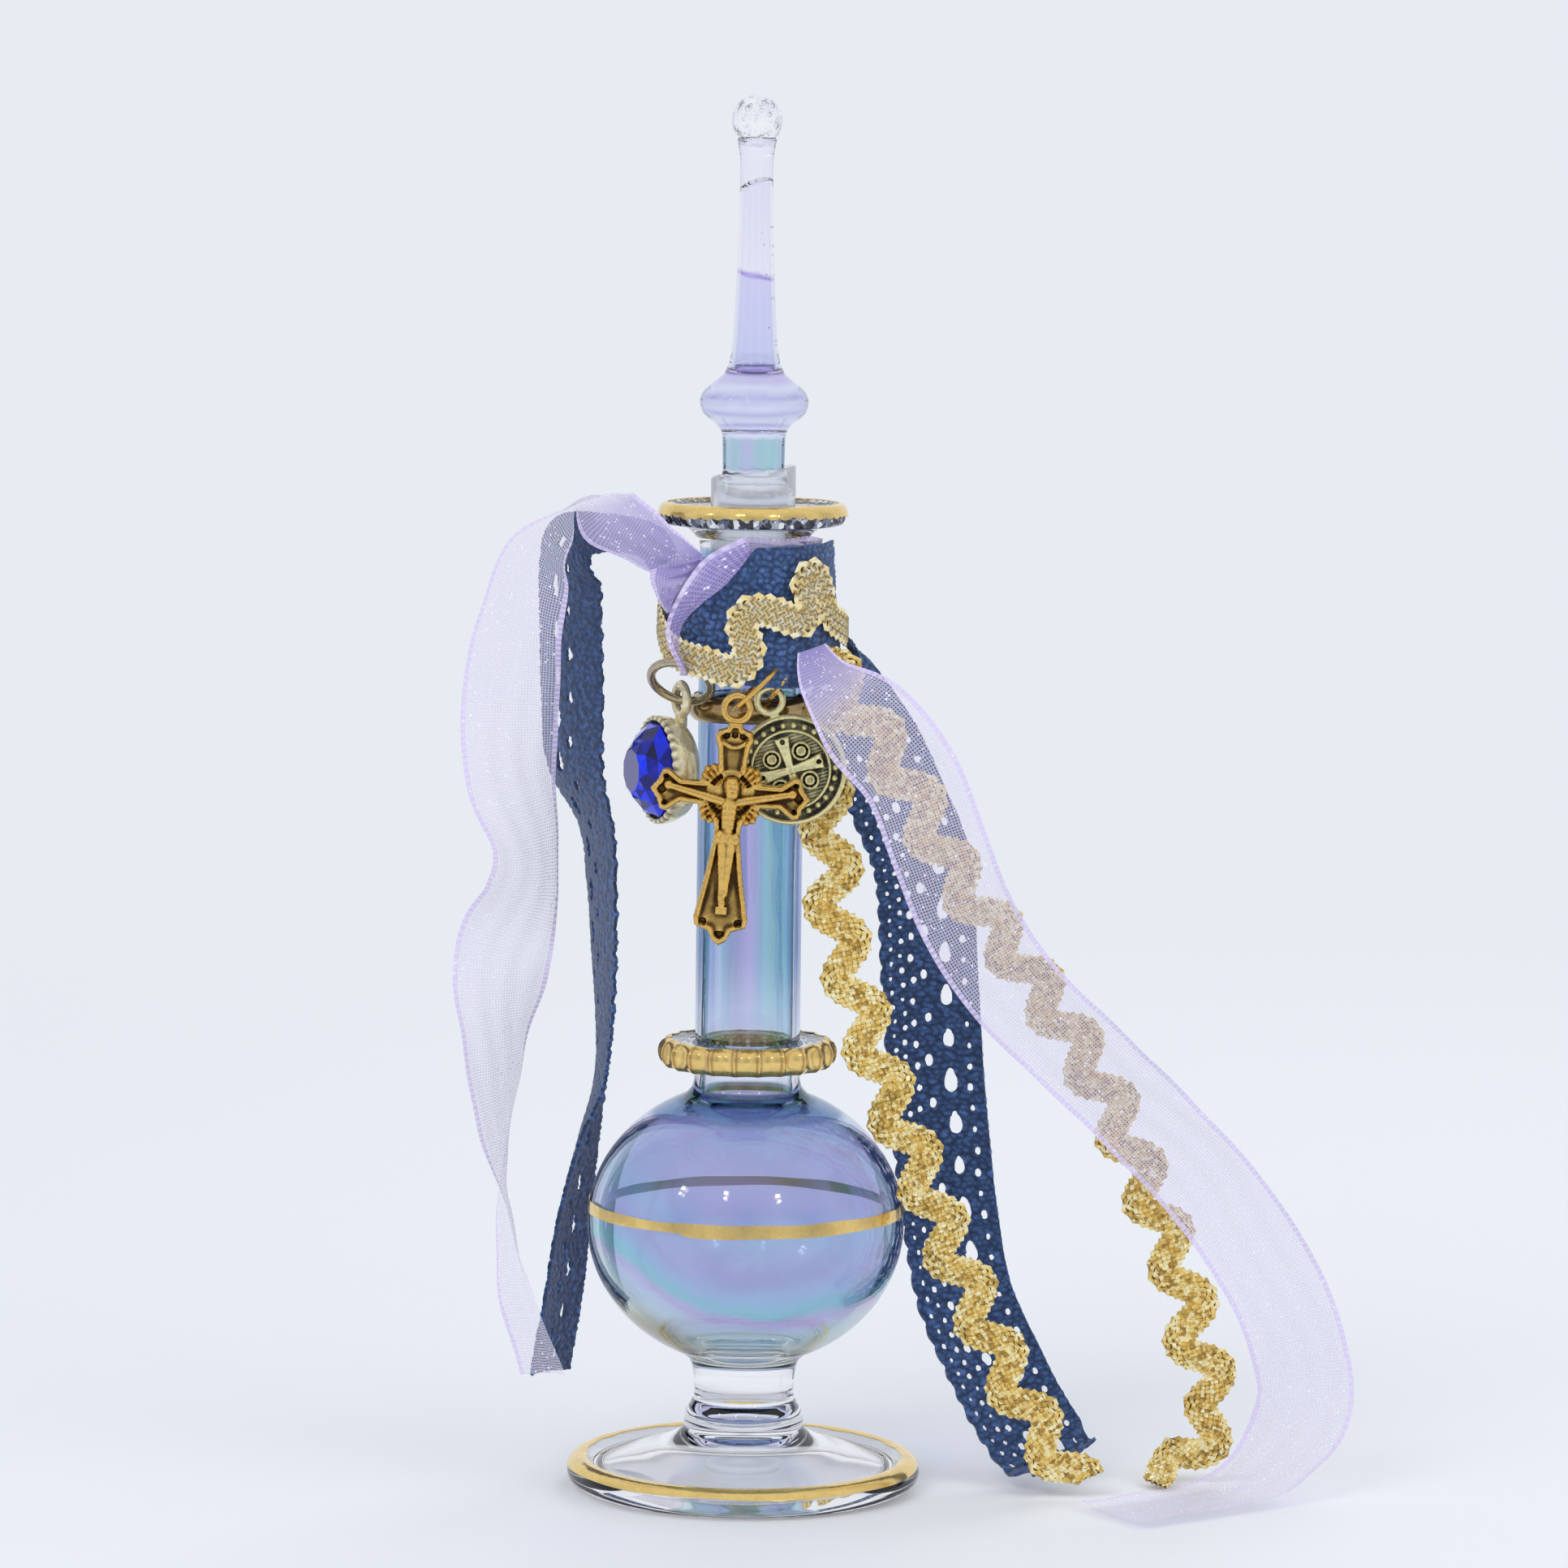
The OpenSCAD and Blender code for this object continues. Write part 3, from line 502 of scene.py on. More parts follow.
def make_lustre_and_painted_light(colours):
    tree, takes, gives = new_group("LustreAndPaintedLight", [("Place", "Vector", (0, 0, 0))], [("Color", "Color")])
    lilac, sky, rose, aqua, slate = (tuple(c) for c in (colours.lilac, colours.sky, colours.rose, colours.aqua,
                                                        colours.slate))
    x, y, z = split(tree, takes["Place"])[:3]
    swirl = sums(tree, "SUBTRACT", noise(tree, stretch(tree, takes["Place"], (1, 1, 1.6)), 60.0, 3.0), 0.5)
    sweep = sums(tree, "ADD", soft(tree, x, -0.019, -0.001, 0.0068, 0.0), sums(tree, "MULTIPLY", swirl, 0.007))
    height = sums(tree, "DIVIDE", sums(tree, "SUBTRACT", sums(tree, "SUBTRACT", z, sweep), 0.015), 0.035)
    front = ramp(tree, height, [(0.03, (0.42, 0.38, 0.24)), (0.08, (0.70, 0.78, 0.70)), (0.16, (0.70, 0.86, 0.82)),
                                (0.205, (0.72, 0.80, 0.88)), (0.235, rose), (0.275, aqua), (0.335, sky),
                                (0.41, lilac), (0.52, sky), (0.62, lilac), (0.84, lilac), (0.90, sky)])
    plain = ramp(tree, sums(tree, "ADD", swirl, 0.5), [(0.35, (0.70, 0.76, 0.92)), (0.5, (0.70, 0.69, 0.90)),
                                                       (0.65, (0.74, 0.70, 0.92))])
    globe = blend(tree, soft(tree, y, -0.004, 0.004), front, plain)
    globe = blend(tree, soft(tree, z, 0.0460, 0.0468), globe, opaque(slate))
    # A dark ring where the globe turns in at its top: painted shade of the glass's edge.
    globe = blend(tree, soft(tree, z, 0.0480, 0.0484), globe, (0.05, 0.08, 0.18, 1))
    globe = blend(tree, soft(tree, z, 0.0150, 0.0162, 1.0, 0.0), globe, (0.93, 0.95, 0.95, 1))
    drift = sums(tree, "MULTIPLY", sums(tree, "SUBTRACT", noise(tree, stretch(tree, takes["Place"], (1, 1, 0.06)),
                                                               500.0, 2.0), 0.5), 0.0022)
    # Across the neck from left to right: the slate and deep stops towards both edges are painted shade of the tube's
    # sides, and the pale stops next to them are painted highlight lines; the streaks between are the lustre's own
    # tints.
    place = sums(tree, "ADD", sums(tree, "MULTIPLY", sums(tree, "ADD", x, drift), 75.0), 0.5)
    deep, pale = (0.28, 0.36, 0.66), (0.74, 0.81, 0.94)
    neck = ramp(tree, place, [(0.02, slate), (0.06, sky), (0.09, deep), (0.12, aqua), (0.15, (0.62, 0.50, 0.84)),
                              (0.19, pale), (0.27, sky), (0.38, lilac), (0.52, (0.66, 0.64, 0.88)), (0.62, sky),
                              (0.68, (0.50, 0.74, 0.84)), (0.71, (0.48, 0.70, 0.70)), (0.74, sky), (0.83, aqua), (0.86, deep),
                              (0.89, (0.66, 0.52, 0.86)), (0.92, pale), (0.96, deep), (0.99, slate)])
    neck = blend(tree, soft(tree, z, 0.054, 0.068, 0.75, 0.0), neck, (0.84, 0.89, 0.98, 1))
    tint = blend(tree, soft(tree, z, 0.0490, 0.0500), globe, (0.90, 0.93, 0.98, 1))
    tint = blend(tree, soft(tree, z, 0.0535, 0.056), tint, neck)
    tint = blend(tree, soft(tree, z, 0.1155, 0.118), tint, (0.95, 0.96, 1, 1))
    tree.links.new(tint, gives["Color"])


def make_finishes(colours):
    """Every material of the bottle, under the name of the piece that it suits."""
    make_patina_and_shade()
    make_weave()
    make_lustre_and_painted_light(colours)

    tree, shader = finish_of("lustre_glass", Roughness=0.02, IOR=1.48, Transmission_Weight=1.0,
                             Thin_Film_Thickness=420.0, Thin_Film_IOR=1.7)
    tree.links.new(use_group(tree, "LustreAndPaintedLight", {"Place": here(tree)})[0], shader.inputs["Base Color"])
    clear_shadow(tree, shader, (0.86, 0.86, 0.94))

    tree, shader = finish_of("stopper_glass", Roughness=0.02, IOR=1.48, Transmission_Weight=1.0,
                             Thin_Film_Thickness=380.0, Thin_Film_IOR=1.5)
    x, y, z = split(tree, here(tree))[:3]
    slope = sums(tree, "MULTIPLY", x, soft(tree, z, 0.142, 0.147, 0.0, 0.2))
    ragged = sums(tree, "MULTIPLY", sums(tree, "SUBTRACT", noise(tree, here(tree), 350.0), 0.5), 0.0012)
    height = sums(tree, "DIVIDE", sums(tree, "SUBTRACT", sums(tree, "ADD", z, sums(tree, "ADD", slope, ragged)), 0.124), 0.044)
    streak = noise(tree, stretch(tree, here(tree), (1, 1, 0.04)), 380.0, 1.0)
    stub = ramp(tree, streak, [(0.36, (0.36, 0.50, 0.74)), (0.46, (0.54, 0.61, 0.82)), (0.54, (0.36, 0.65, 0.66)),
                               (0.64, (0.52, 0.51, 0.79))])
    stub = blend(tree, soft(tree, z, 0.1255, 0.1262), (0.93, 0.95, 0.98, 1), stub)
    pale, mist = (0.95, 0.95, 1.0), (0.82, 0.86, 0.98)
    tint = ramp(tree, height, [(0.13, mist), (0.17, (0.66, 0.66, 0.92)), (0.22, mist), (0.25, (0.42, 0.40, 0.78)),
                               (0.275, mist), (0.295, (0.60, 0.54, 0.86)), (0.315, (0.40, 0.30, 0.68)),
                               (0.33, (0.80, 0.82, 0.97)), (0.575, (0.85, 0.84, 0.98)), (0.582, (0.60, 0.52, 0.86)),
                               (0.592, pale), (0.9, (0.92, 0.91, 0.99))])
    tree.links.new(blend(tree, soft(tree, z, 0.1296, 0.1304), stub, tint), shader.inputs["Base Color"])
    clear_shadow(tree, shader, (0.9, 0.9, 0.96))

    tree, shader = finish_of("clear_glass", Base_Color=(0.99, 0.99, 1, 1), Roughness=0.02, IOR=1.5,
                             Transmission_Weight=1.0)
    clear_shadow(tree, shader, (0.97, 0.97, 0.98))

    tree, shader = finish_of("seed_glass", Base_Color=(0.97, 0.97, 0.99, 1), Roughness=0.02, IOR=1.16,
                             Transmission_Weight=1.0)
    clear_shadow(tree, shader, (0.97, 0.97, 0.98))

    # The knurl on the lip: opaque, near black with grey and white cells, a painted reflection of the gilding seen from
    # inside the glass, with painted glints.
    tree, shader = finish_of("knurl_painted_reflection", Roughness=0.08, IOR=1.6)
    cells = node(tree, "TexVoronoi", None, {"Vector": stretch(tree, here(tree), (1, 1, 0.6)), "Scale": 1700.0}).outputs["Color"]
    tree.links.new(ramp(tree, split(tree, cells)[0], [(0.45, (0.012, 0.014, 0.03)), (0.6, (0.10, 0.12, 0.2)),
                                                      (0.78, (0.30, 0.33, 0.42)), (0.9, (0.9, 0.92, 0.96))]),
                   shader.inputs["Base Color"])

    # The knop round the stem bubble: clear glass tinted blue, a painted reflection.
    tree, shader = finish_of("knop_painted_reflection", Base_Color=(0.34, 0.44, 0.66, 1), Roughness=0.02, IOR=1.5,
                             Transmission_Weight=1.0)
    clear_shadow(tree, shader, (0.8, 0.85, 0.9))

    tree, shader = finish_of("tubing", Base_Color=(0.97, 0.98, 1, 1), IOR=1.3, Transmission_Weight=0.8)
    scratch = noise(tree, stretch(tree, here(tree), (0.12, 0.12, 1)), 2200.0, 4.0)
    tree.links.new(soft(tree, scratch, 0.35, 0.75, 0.05, 0.3), shader.inputs["Roughness"])
    clear_shadow(tree, shader, (0.92, 0.93, 0.95))

    for name, metal, tarnish_and_shade in (("gilding", colours.gold, (0.34, 0.17, 0.05)),
                                 ("old_gilding", (0.50, 0.34, 0.14), (0.10, 0.07, 0.10)),
                                 ("gilding_back", (0.52, 0.30, 0.50), (0.24, 0.40, 0.46))):
        tree, shader = finish_of(name, Metallic=0.88)
        # On the lower collar the recess value darkens the flute sides towards the tarnish colour as painted shade; the
        # grain and blotches are the gilding's own tarnish.
        aged_and_shaded = use_group(tree, "PatinaAndShade", {"Metal": opaque(metal), "TarnishAndShade": opaque(tarnish_and_shade),
                                          "Recess": sums(tree, "ADD", attribute(tree, "recess", "Fac"), 0.06)})
        tree.links.new(aged_and_shaded["Color"], shader.inputs["Base Color"])
        tree.links.new(soft(tree, aged_and_shaded["Roughness"], 0.1, 0.7, 0.14, 0.42), shader.inputs["Roughness"])
        bump(tree, shader, noise(tree, here(tree), 700.0, 3.0), 0.0002, 0.3)

    for name, metal, tarnish_and_shade, bare in (("crucifix_gold", colours.cross_gold, (0.06, 0.03, 0.012), 0.92),
                                       ("medal_gold", colours.medal_gold, (0.022, 0.018, 0.014), 0.7),
                                       ("wire_gold", colours.wire_gold, (0.25, 0.11, 0.02), 0.85),
                                       ("ring_metal", (0.56, 0.48, 0.33), (0.10, 0.07, 0.04), 0.95),
                                       ("cup_metal", colours.cup_metal, (0.16, 0.12, 0.07), 0.55)):
        tree, shader = finish_of(name, Metallic=bare)
        # In the castings and the cup the recess darkening is tarnish in their hollows.
        recess = attribute(tree, "recess", "Fac")
        aged_and_shaded = use_group(tree, "PatinaAndShade", {"Metal": opaque(metal), "TarnishAndShade": opaque(tarnish_and_shade), "Recess": recess})
        tree.links.new(aged_and_shaded["Color"], shader.inputs["Base Color"])
        tree.links.new(soft(tree, aged_and_shaded["Roughness"], 0.0, 0.6, 0.14, 0.5), shader.inputs["Roughness"])
        cast = sums(tree, "ADD", noise(tree, here(tree), 800.0, 2.0), sums(tree, "MULTIPLY", aged_and_shaded["Height"], 0.05))
        bump(tree, shader, cast, 0.0004, 0.4)

    for name, cover, thread, gap in (("organza", 0.12, colours.organza, colours.organza),
                                     ("organza_folds", 0.62, colours.folds, (0.26, 0.20, 0.55))):
        tree, shader = finish_of(name, Roughness=0.45, Sheen_Weight=0.4)
        weave = use_group(tree, "Weave", {"Flat": attribute(tree, "flat")})
        gather = attribute(tree, "gather", "Fac")
        cloth = blend(tree, weave["Cover"], opaque(gap), opaque(thread))
        cloth = blend(tree, gather, cloth, (0.27, 0.22, 0.56, 1))
        cloth = blend(tree, weave["Hem"], cloth, opaque(colours.hem))
        tree.links.new(blend(tree, weave["Glint"], cloth, (0.95, 0.93, 1, 1)), shader.inputs["Base Color"])
        alpha = sums(tree, "MAXIMUM", sums(tree, "MAXIMUM", weave["Cover"], cover), weave["Glint"])
        tree.links.new(sums(tree, "ADD", alpha, sums(tree, "MULTIPLY", gather, 0.75), True), shader.inputs["Alpha"])

    tree, shader = finish_of("lace", Roughness=0.75, Sheen_Weight=0.35, Specular_IOR_Level=0.3)
    flat = attribute(tree, "flat")
    lump = attribute(tree, "lump", "Fac")
    fibre = noise(tree, stretch(tree, flat, (2.5, 1, 1)), 2.6, 4.0)
    # The yarn is painted darker in the hollows between loops and lighter on their tops: painted shade and painted
    # highlight; the fibre noise is the yarn's own tone.
    light = sums(tree, "MULTIPLY", sums(tree, "ADD", lump, fibre), 0.5)
    navy = colours.navy
    tree.links.new(ramp(tree, light, [(0.18, tuple(c * 0.3 for c in navy)), (0.46, tuple(navy)),
                                      (0.8, tuple(c * 2.6 + 0.01 for c in navy))]),
                   shader.inputs["Base Color"])
    bump(tree, shader, fibre, 0.00025, 0.7)

    # The ric-rac's foil in two copies: the tails' palette is darker and the turn round the lace lighter, painted shade
    # and painted light on one braid; the random grains are the foil's own tone.
    for name, shades in (("lurex", ((0.50, 0.32, 0.08), colours.lurex, (0.96, 0.80, 0.38), (1.0, 0.92, 0.58))),
                         ("lurex_wrap", ((0.94, 0.72, 0.30), (0.98, 0.82, 0.42), (1.0, 0.90, 0.56), (1.0, 0.97, 0.80)))):
        tree, shader = finish_of(name, Metallic=0.35)
        core_and_shade = attribute(tree, "core_and_shade", "Fac")
        grains = node(tree, "TexVoronoi", None, {"Vector": here(tree), "Scale": 1800.0}).outputs["Color"]
        foil = ramp(tree, split(tree, grains)[0], [(at, tuple(shade)) for at, shade in zip((0.1, 0.45, 0.75, 0.95), shades)])
        # The core strip's dark brown shows in the gaps between threads, and threads passing under others are darkened
        # towards it: painted shade.
        tree.links.new(blend(tree, core_and_shade, foil, (0.13, 0.065, 0.012, 1)), shader.inputs["Base Color"])
        tree.links.new(soft(tree, core_and_shade, 0, 1, 0.28, 0.8), shader.inputs["Roughness"])

    tree, shader = finish_of("cobalt", Roughness=0.06, IOR=1.45)
    deep = tuple(colours.cobalt)
    # Each facet's brightness, with a little noise across the stone: painted light and shade of the cut stone, from near
    # black to bright blue, the table a darker greyish blue.
    shade_noise = noise(tree, here(tree), 900.0, 1.0)
    share = sums(tree, "ADD", attribute(tree, "facet_shade", "Fac"), sums(tree, "MULTIPLY", sums(tree, "SUBTRACT", shade_noise, 0.5), 0.5))
    tree.links.new(ramp(tree, share, [(0.1, tuple(c * 0.06 for c in deep)), (0.4, tuple(c * 0.4 for c in deep)),
                                      (0.7, tuple(c * 0.8 for c in deep)), (0.95, (0.006, 0.04, 0.95)),
                                      (1.0, (0.10, 0.10, 0.27))]),
                   shader.inputs["Base Color"])


# Glass, gilding and closure

def bottle_profile(sizes):
    """Outside of the glass from under the foot up to the lip, then the inside down to the globe's floor."""
    rim, globe_r, neck_r = sizes.foot_r / MM - 1.75, sizes.globe_r / MM, sizes.neck_r / MM
    collar_r, upper_r, lip_r = sizes.collar_r / MM, sizes.upper_collar_r / MM, sizes.lip_r / MM
    foot = np.vstack([smooth([[0, 6.4], [4, 6.0], [7, 5.1], [10.5, 3.85], [14, 2.75], [17.5, 1.5]], 4),
                      arc((rim, 1.6), 1.75, 205, 246, 5),
                      arc((rim, 1.6), 1.75, 294, 508, 26)])
    plate = smooth([[18.55, 2.5], [14, 4.1], [10.5, 5.2], [8.4, 6.2], [7.5, 7.0], [7.4, 8.3], [7.15, 9.3],
                    [6.75, 10.1], [6.25, 10.8], [6.18, 12], [6.26, 13.4], [6.5, 14.9], [6.95, 15.8]], 3)
    globe = arc((0, 32.6), globe_r, -66, 66, 56, h=17.5)
    shoulder = smooth([[7.45, 48.9], [6.8, 49.7], [neck_r, 50.9], [neck_r, 52.4]], 3)
    collar = smooth([[neck_r + 2.4, 52.5], [collar_r - 1.1, 52.45], [collar_r - 0.35, 53.0], [collar_r - 0.05, 54.1],
                     [collar_r - 0.35, 55.1], [collar_r - 1.2, 55.6], [neck_r + 1.2, 55.35], [neck_r, 55.6]], 3)
    neck = [[neck_r, 60], [neck_r, 70], [neck_r, 80], [neck_r, 90], [neck_r, 95.4]]
    upper = smooth([[neck_r + 0.4, 95.45], [upper_r - 0.3, 96.0], [upper_r - 0.05, 96.9], [upper_r - 0.3, 97.8],
                    [neck_r + 0.4, 98.35]], 3)
    lip = smooth([[neck_r, 98.5], [neck_r, 108], [neck_r, 116.6], [neck_r + 0.5, 117.8], [neck_r + 1.7, 118.9],
                  [lip_r - 1.7, 119.2], [lip_r - 0.5, 119.5], [lip_r, 120.6], [lip_r - 0.15, 121.2],
                  [lip_r - 0.55, 121.75], [lip_r - 1.15, 121.9], [lip_r - 2.35, 121.4], [5.9, 121.0], [5.3, 120.5],
                  [5.3, 112]], 4)
    inside = np.vstack([[[5.3, 90], [5.3, 70], [5.3, 51], [5.45, 49.2]],
                        arc((0, 32.6), globe_r - 1.4, 70, -90, 56, h=16.1)])
    inside[-1, 0] = 0
    return np.vstack([foot, plate, globe, shoulder, collar, neck, upper, lip, inside])


def flute(a, n, r, radius=2.35, depth=0.55):
    """How deep the flutes of a collar cut in, at each way round."""
    pitch = TURN / n
    s = r * ((a + pitch / 2) % pitch - pitch / 2)
    return np.maximum(np.sqrt(np.maximum(radius**2 - s**2, 0)) - (radius - depth), 0)


class BOTTLE_OT_glass(bpy.types.Operator):
    """Foot, globe, collars, neck and lip as one body of glass"""
    bl_idname = "bottle.glass"
    bl_label = "Glass body"

    def execute(self, context):
        sizes = context.scene.bottle_sizes
        piece = turned("bottle_glass", bottle_profile(sizes), sizes.flutes * 12)
        r, a, z = polar(piece)
        ring = (z > 52.2) & (z < 55.9) & (r > 8.6)
        r = np.where(ring, r - flute(a, sizes.flutes, sizes.collar_r / MM) * step(8.6, 10.2, r), r)
        knurl = step(119.2, 119.7, z) * step(120.9, 120.5, z) * (r > 10.4)
        r = r - 0.36 * knurl * np.abs(np.sin(a * 22 + 0.7 * np.sin(a * 5) + 1.6 * (z - 120)))
        from_polar(piece, r, a, z)
        bubble = start(bpy.ops.mesh.primitive_uv_sphere_add, "stem_bubble", segments=64, ring_count=24, radius=MM,
                       location=(0, 0, 8.4 * MM), scale=(5.6, 5.6, 1.0))
        bpy.ops.object.transform_apply()
        with editing(bubble):
            bpy.ops.mesh.select_all(action="SELECT")
            bpy.ops.mesh.flip_normals()
        join(piece, bubble)
        dress(piece, "bottle", "glass", "lustre_glass", "foot", "globe", "neck_tube", "lower_collar", "upper_collar",
              "lip")
        repaint(piece, "clear_glass", lambda r, z: (z < 15.2) | (z > 117))
        # The knop round the stem bubble is tinted blue: a painted reflection.
        repaint(piece, "knop_painted_reflection", lambda r, z: (z > 7.3) & (z < 9.5) & (r < 5.7))
        # The lip's knurl is dark with glints: a painted reflection.
        repaint(piece, "knurl_painted_reflection", lambda r, z: (z > 119.35) & (z < 120.6) & (r > 10.4))
        return {"FINISHED"}


def gilt_band(name, path, low, high, steps=264, turn=TURN, lift=0.08, thick=0.1):
    """A painted band on the glass: a strip along a profile, whose two edges wander round the bottle."""
    piece, u, v = grid(name, steps, 8)
    a = (u - 0.5) * turn
    share = low(a) + (high(a) - low(a)) * v
    path = np.asarray(path, float)
    heading = unit(np.gradient(path, axis=0))
    path = path + lift * np.stack([heading[:, 1], -heading[:, 0]], axis=1)
    place = between(share, np.linspace(0, 1, len(path)), path)
    from_polar(piece, place[:, 0], a, place[:, 1])
    tidy_faces(piece, 2e-6)
    modify(piece, "SOLIDIFY", thickness=thick * MM, offset=0)
    return piece


def wander(a, amount, counts, salt):
    """A hand-painted line's drift round the bottle."""
    return amount * sum(np.sin(a * n + TURN * scatter(n, salt)) / len(counts) for n in counts)


class BOTTLE_OT_gilding(bpy.types.Operator):
    """Hand-painted gold on the foot, the globe, both collars and the lip"""
    bl_idname = "bottle.gilding"
    bl_label = "Gilding"

    def execute(self, context):
        sizes = context.scene.bottle_sizes
        rim = sizes.foot_r / MM - 1.75
        piece = gilt_band("foot_gold", arc((rim, 1.6), 1.75, -8, 150, 40),
                          lambda a: 0.21 + wander(a, 0.03, (3, 7), 1), lambda a: 0.75 + wander(a, 0.06, (2, 5, 11, 23), 2))
        dress(piece, "bottle", "gilding", "gilding", "foot_gilding")

        line = arc((0, 32.6), sizes.globe_r / MM, 1.5, 12, 40, h=17.5)
        lap = lambda a: 0.1 * step(-0.42, -0.36, a) * step(1.2, 0.2, a)
        piece = gilt_band("globe_gold", line, lambda a: 0.38 - lap(a) + wander(a, 0.05, (2, 5, 9), 3),
                          lambda a: 0.80 + wander(a, 0.04, (3, 7, 13), 4))
        dress(piece, "bottle", "gilding", "gilding", "globe_gilt_line")
        globe_r = sizes.globe_r / MM
        repaint(piece, "gilding_back",
                lambda r, z: r < globe_r * np.sqrt(1 - ((z - 32.6) / 17.5)**2) + 0.08)

        collar_r = sizes.collar_r / MM
        path = smooth([[collar_r - 1.0, 52.42], [collar_r - 0.3, 53.0], [collar_r, 54.1], [collar_r - 0.3, 55.1],
                       [collar_r - 1.1, 55.62], [collar_r - 2.2, 55.55]], 6)
        piece = gilt_band("lower_collar_gold", path, lambda a: 0 * a, lambda a: 0.80 + wander(a, 0.06, (5, 11), 5))
        r, a, z = polar(piece)
        dip = flute(a, sizes.flutes, collar_r)
        # The sloping sides of the flutes are marked for darkening: painted shade of the ridges.
        note(piece, "recess", 0.7 * step(0.02, 0.1, dip) * step(0.34, 0.16, dip))
        from_polar(piece, r - dip * step(8.6, 10.2, r), a, z)
        dress(piece, "bottle", "gilding", "gilding", "lower_collar_gilding")

        upper_r = sizes.upper_collar_r / MM
        path = smooth([[upper_r - 0.8, 95.4], [upper_r - 0.25, 96.0], [upper_r, 96.9], [upper_r - 0.25, 97.8],
                       [upper_r - 0.8, 98.38]], 8)
        piece = gilt_band("upper_collar_gold", path, lambda a: 0 * a, lambda a: 1 + 0 * a)
        dress(piece, "bottle", "gilding", "old_gilding", "upper_collar_gilding")

        lip_r = sizes.lip_r / MM
        path = smooth([[lip_r - 0.02, 120.2], [lip_r, 120.6], [lip_r - 0.15, 121.2], [lip_r - 0.55, 121.75],
                       [lip_r - 1.15, 121.9]], 8)
        piece = gilt_band("lip_gold", path, lambda a: 0.30 - 0.12 * np.abs(np.sin(a * 22)) + wander(a, 0.1, (3, 8, 17), 6),
                          lambda a: 0.97 + wander(a, 0.03, (4, 9), 7))
        dress(piece, "bottle", "gilding", "gilding", "lip_gilding")
        return {"FINISHED"}


def bubbles(name, spots):
    """Air bubbles at the given places, each with its radius, in millimetres."""
    made = []
    for place, r in spots:
        made.append(start(bpy.ops.mesh.primitive_ico_sphere_add, name, subdivisions=2, radius=r * MM,
                          location=Vector(place) * MM))
        bpy.ops.object.transform_apply()
        with editing(made[-1]):
            bpy.ops.mesh.select_all(action="SELECT")
            bpy.ops.mesh.flip_normals()
    return made


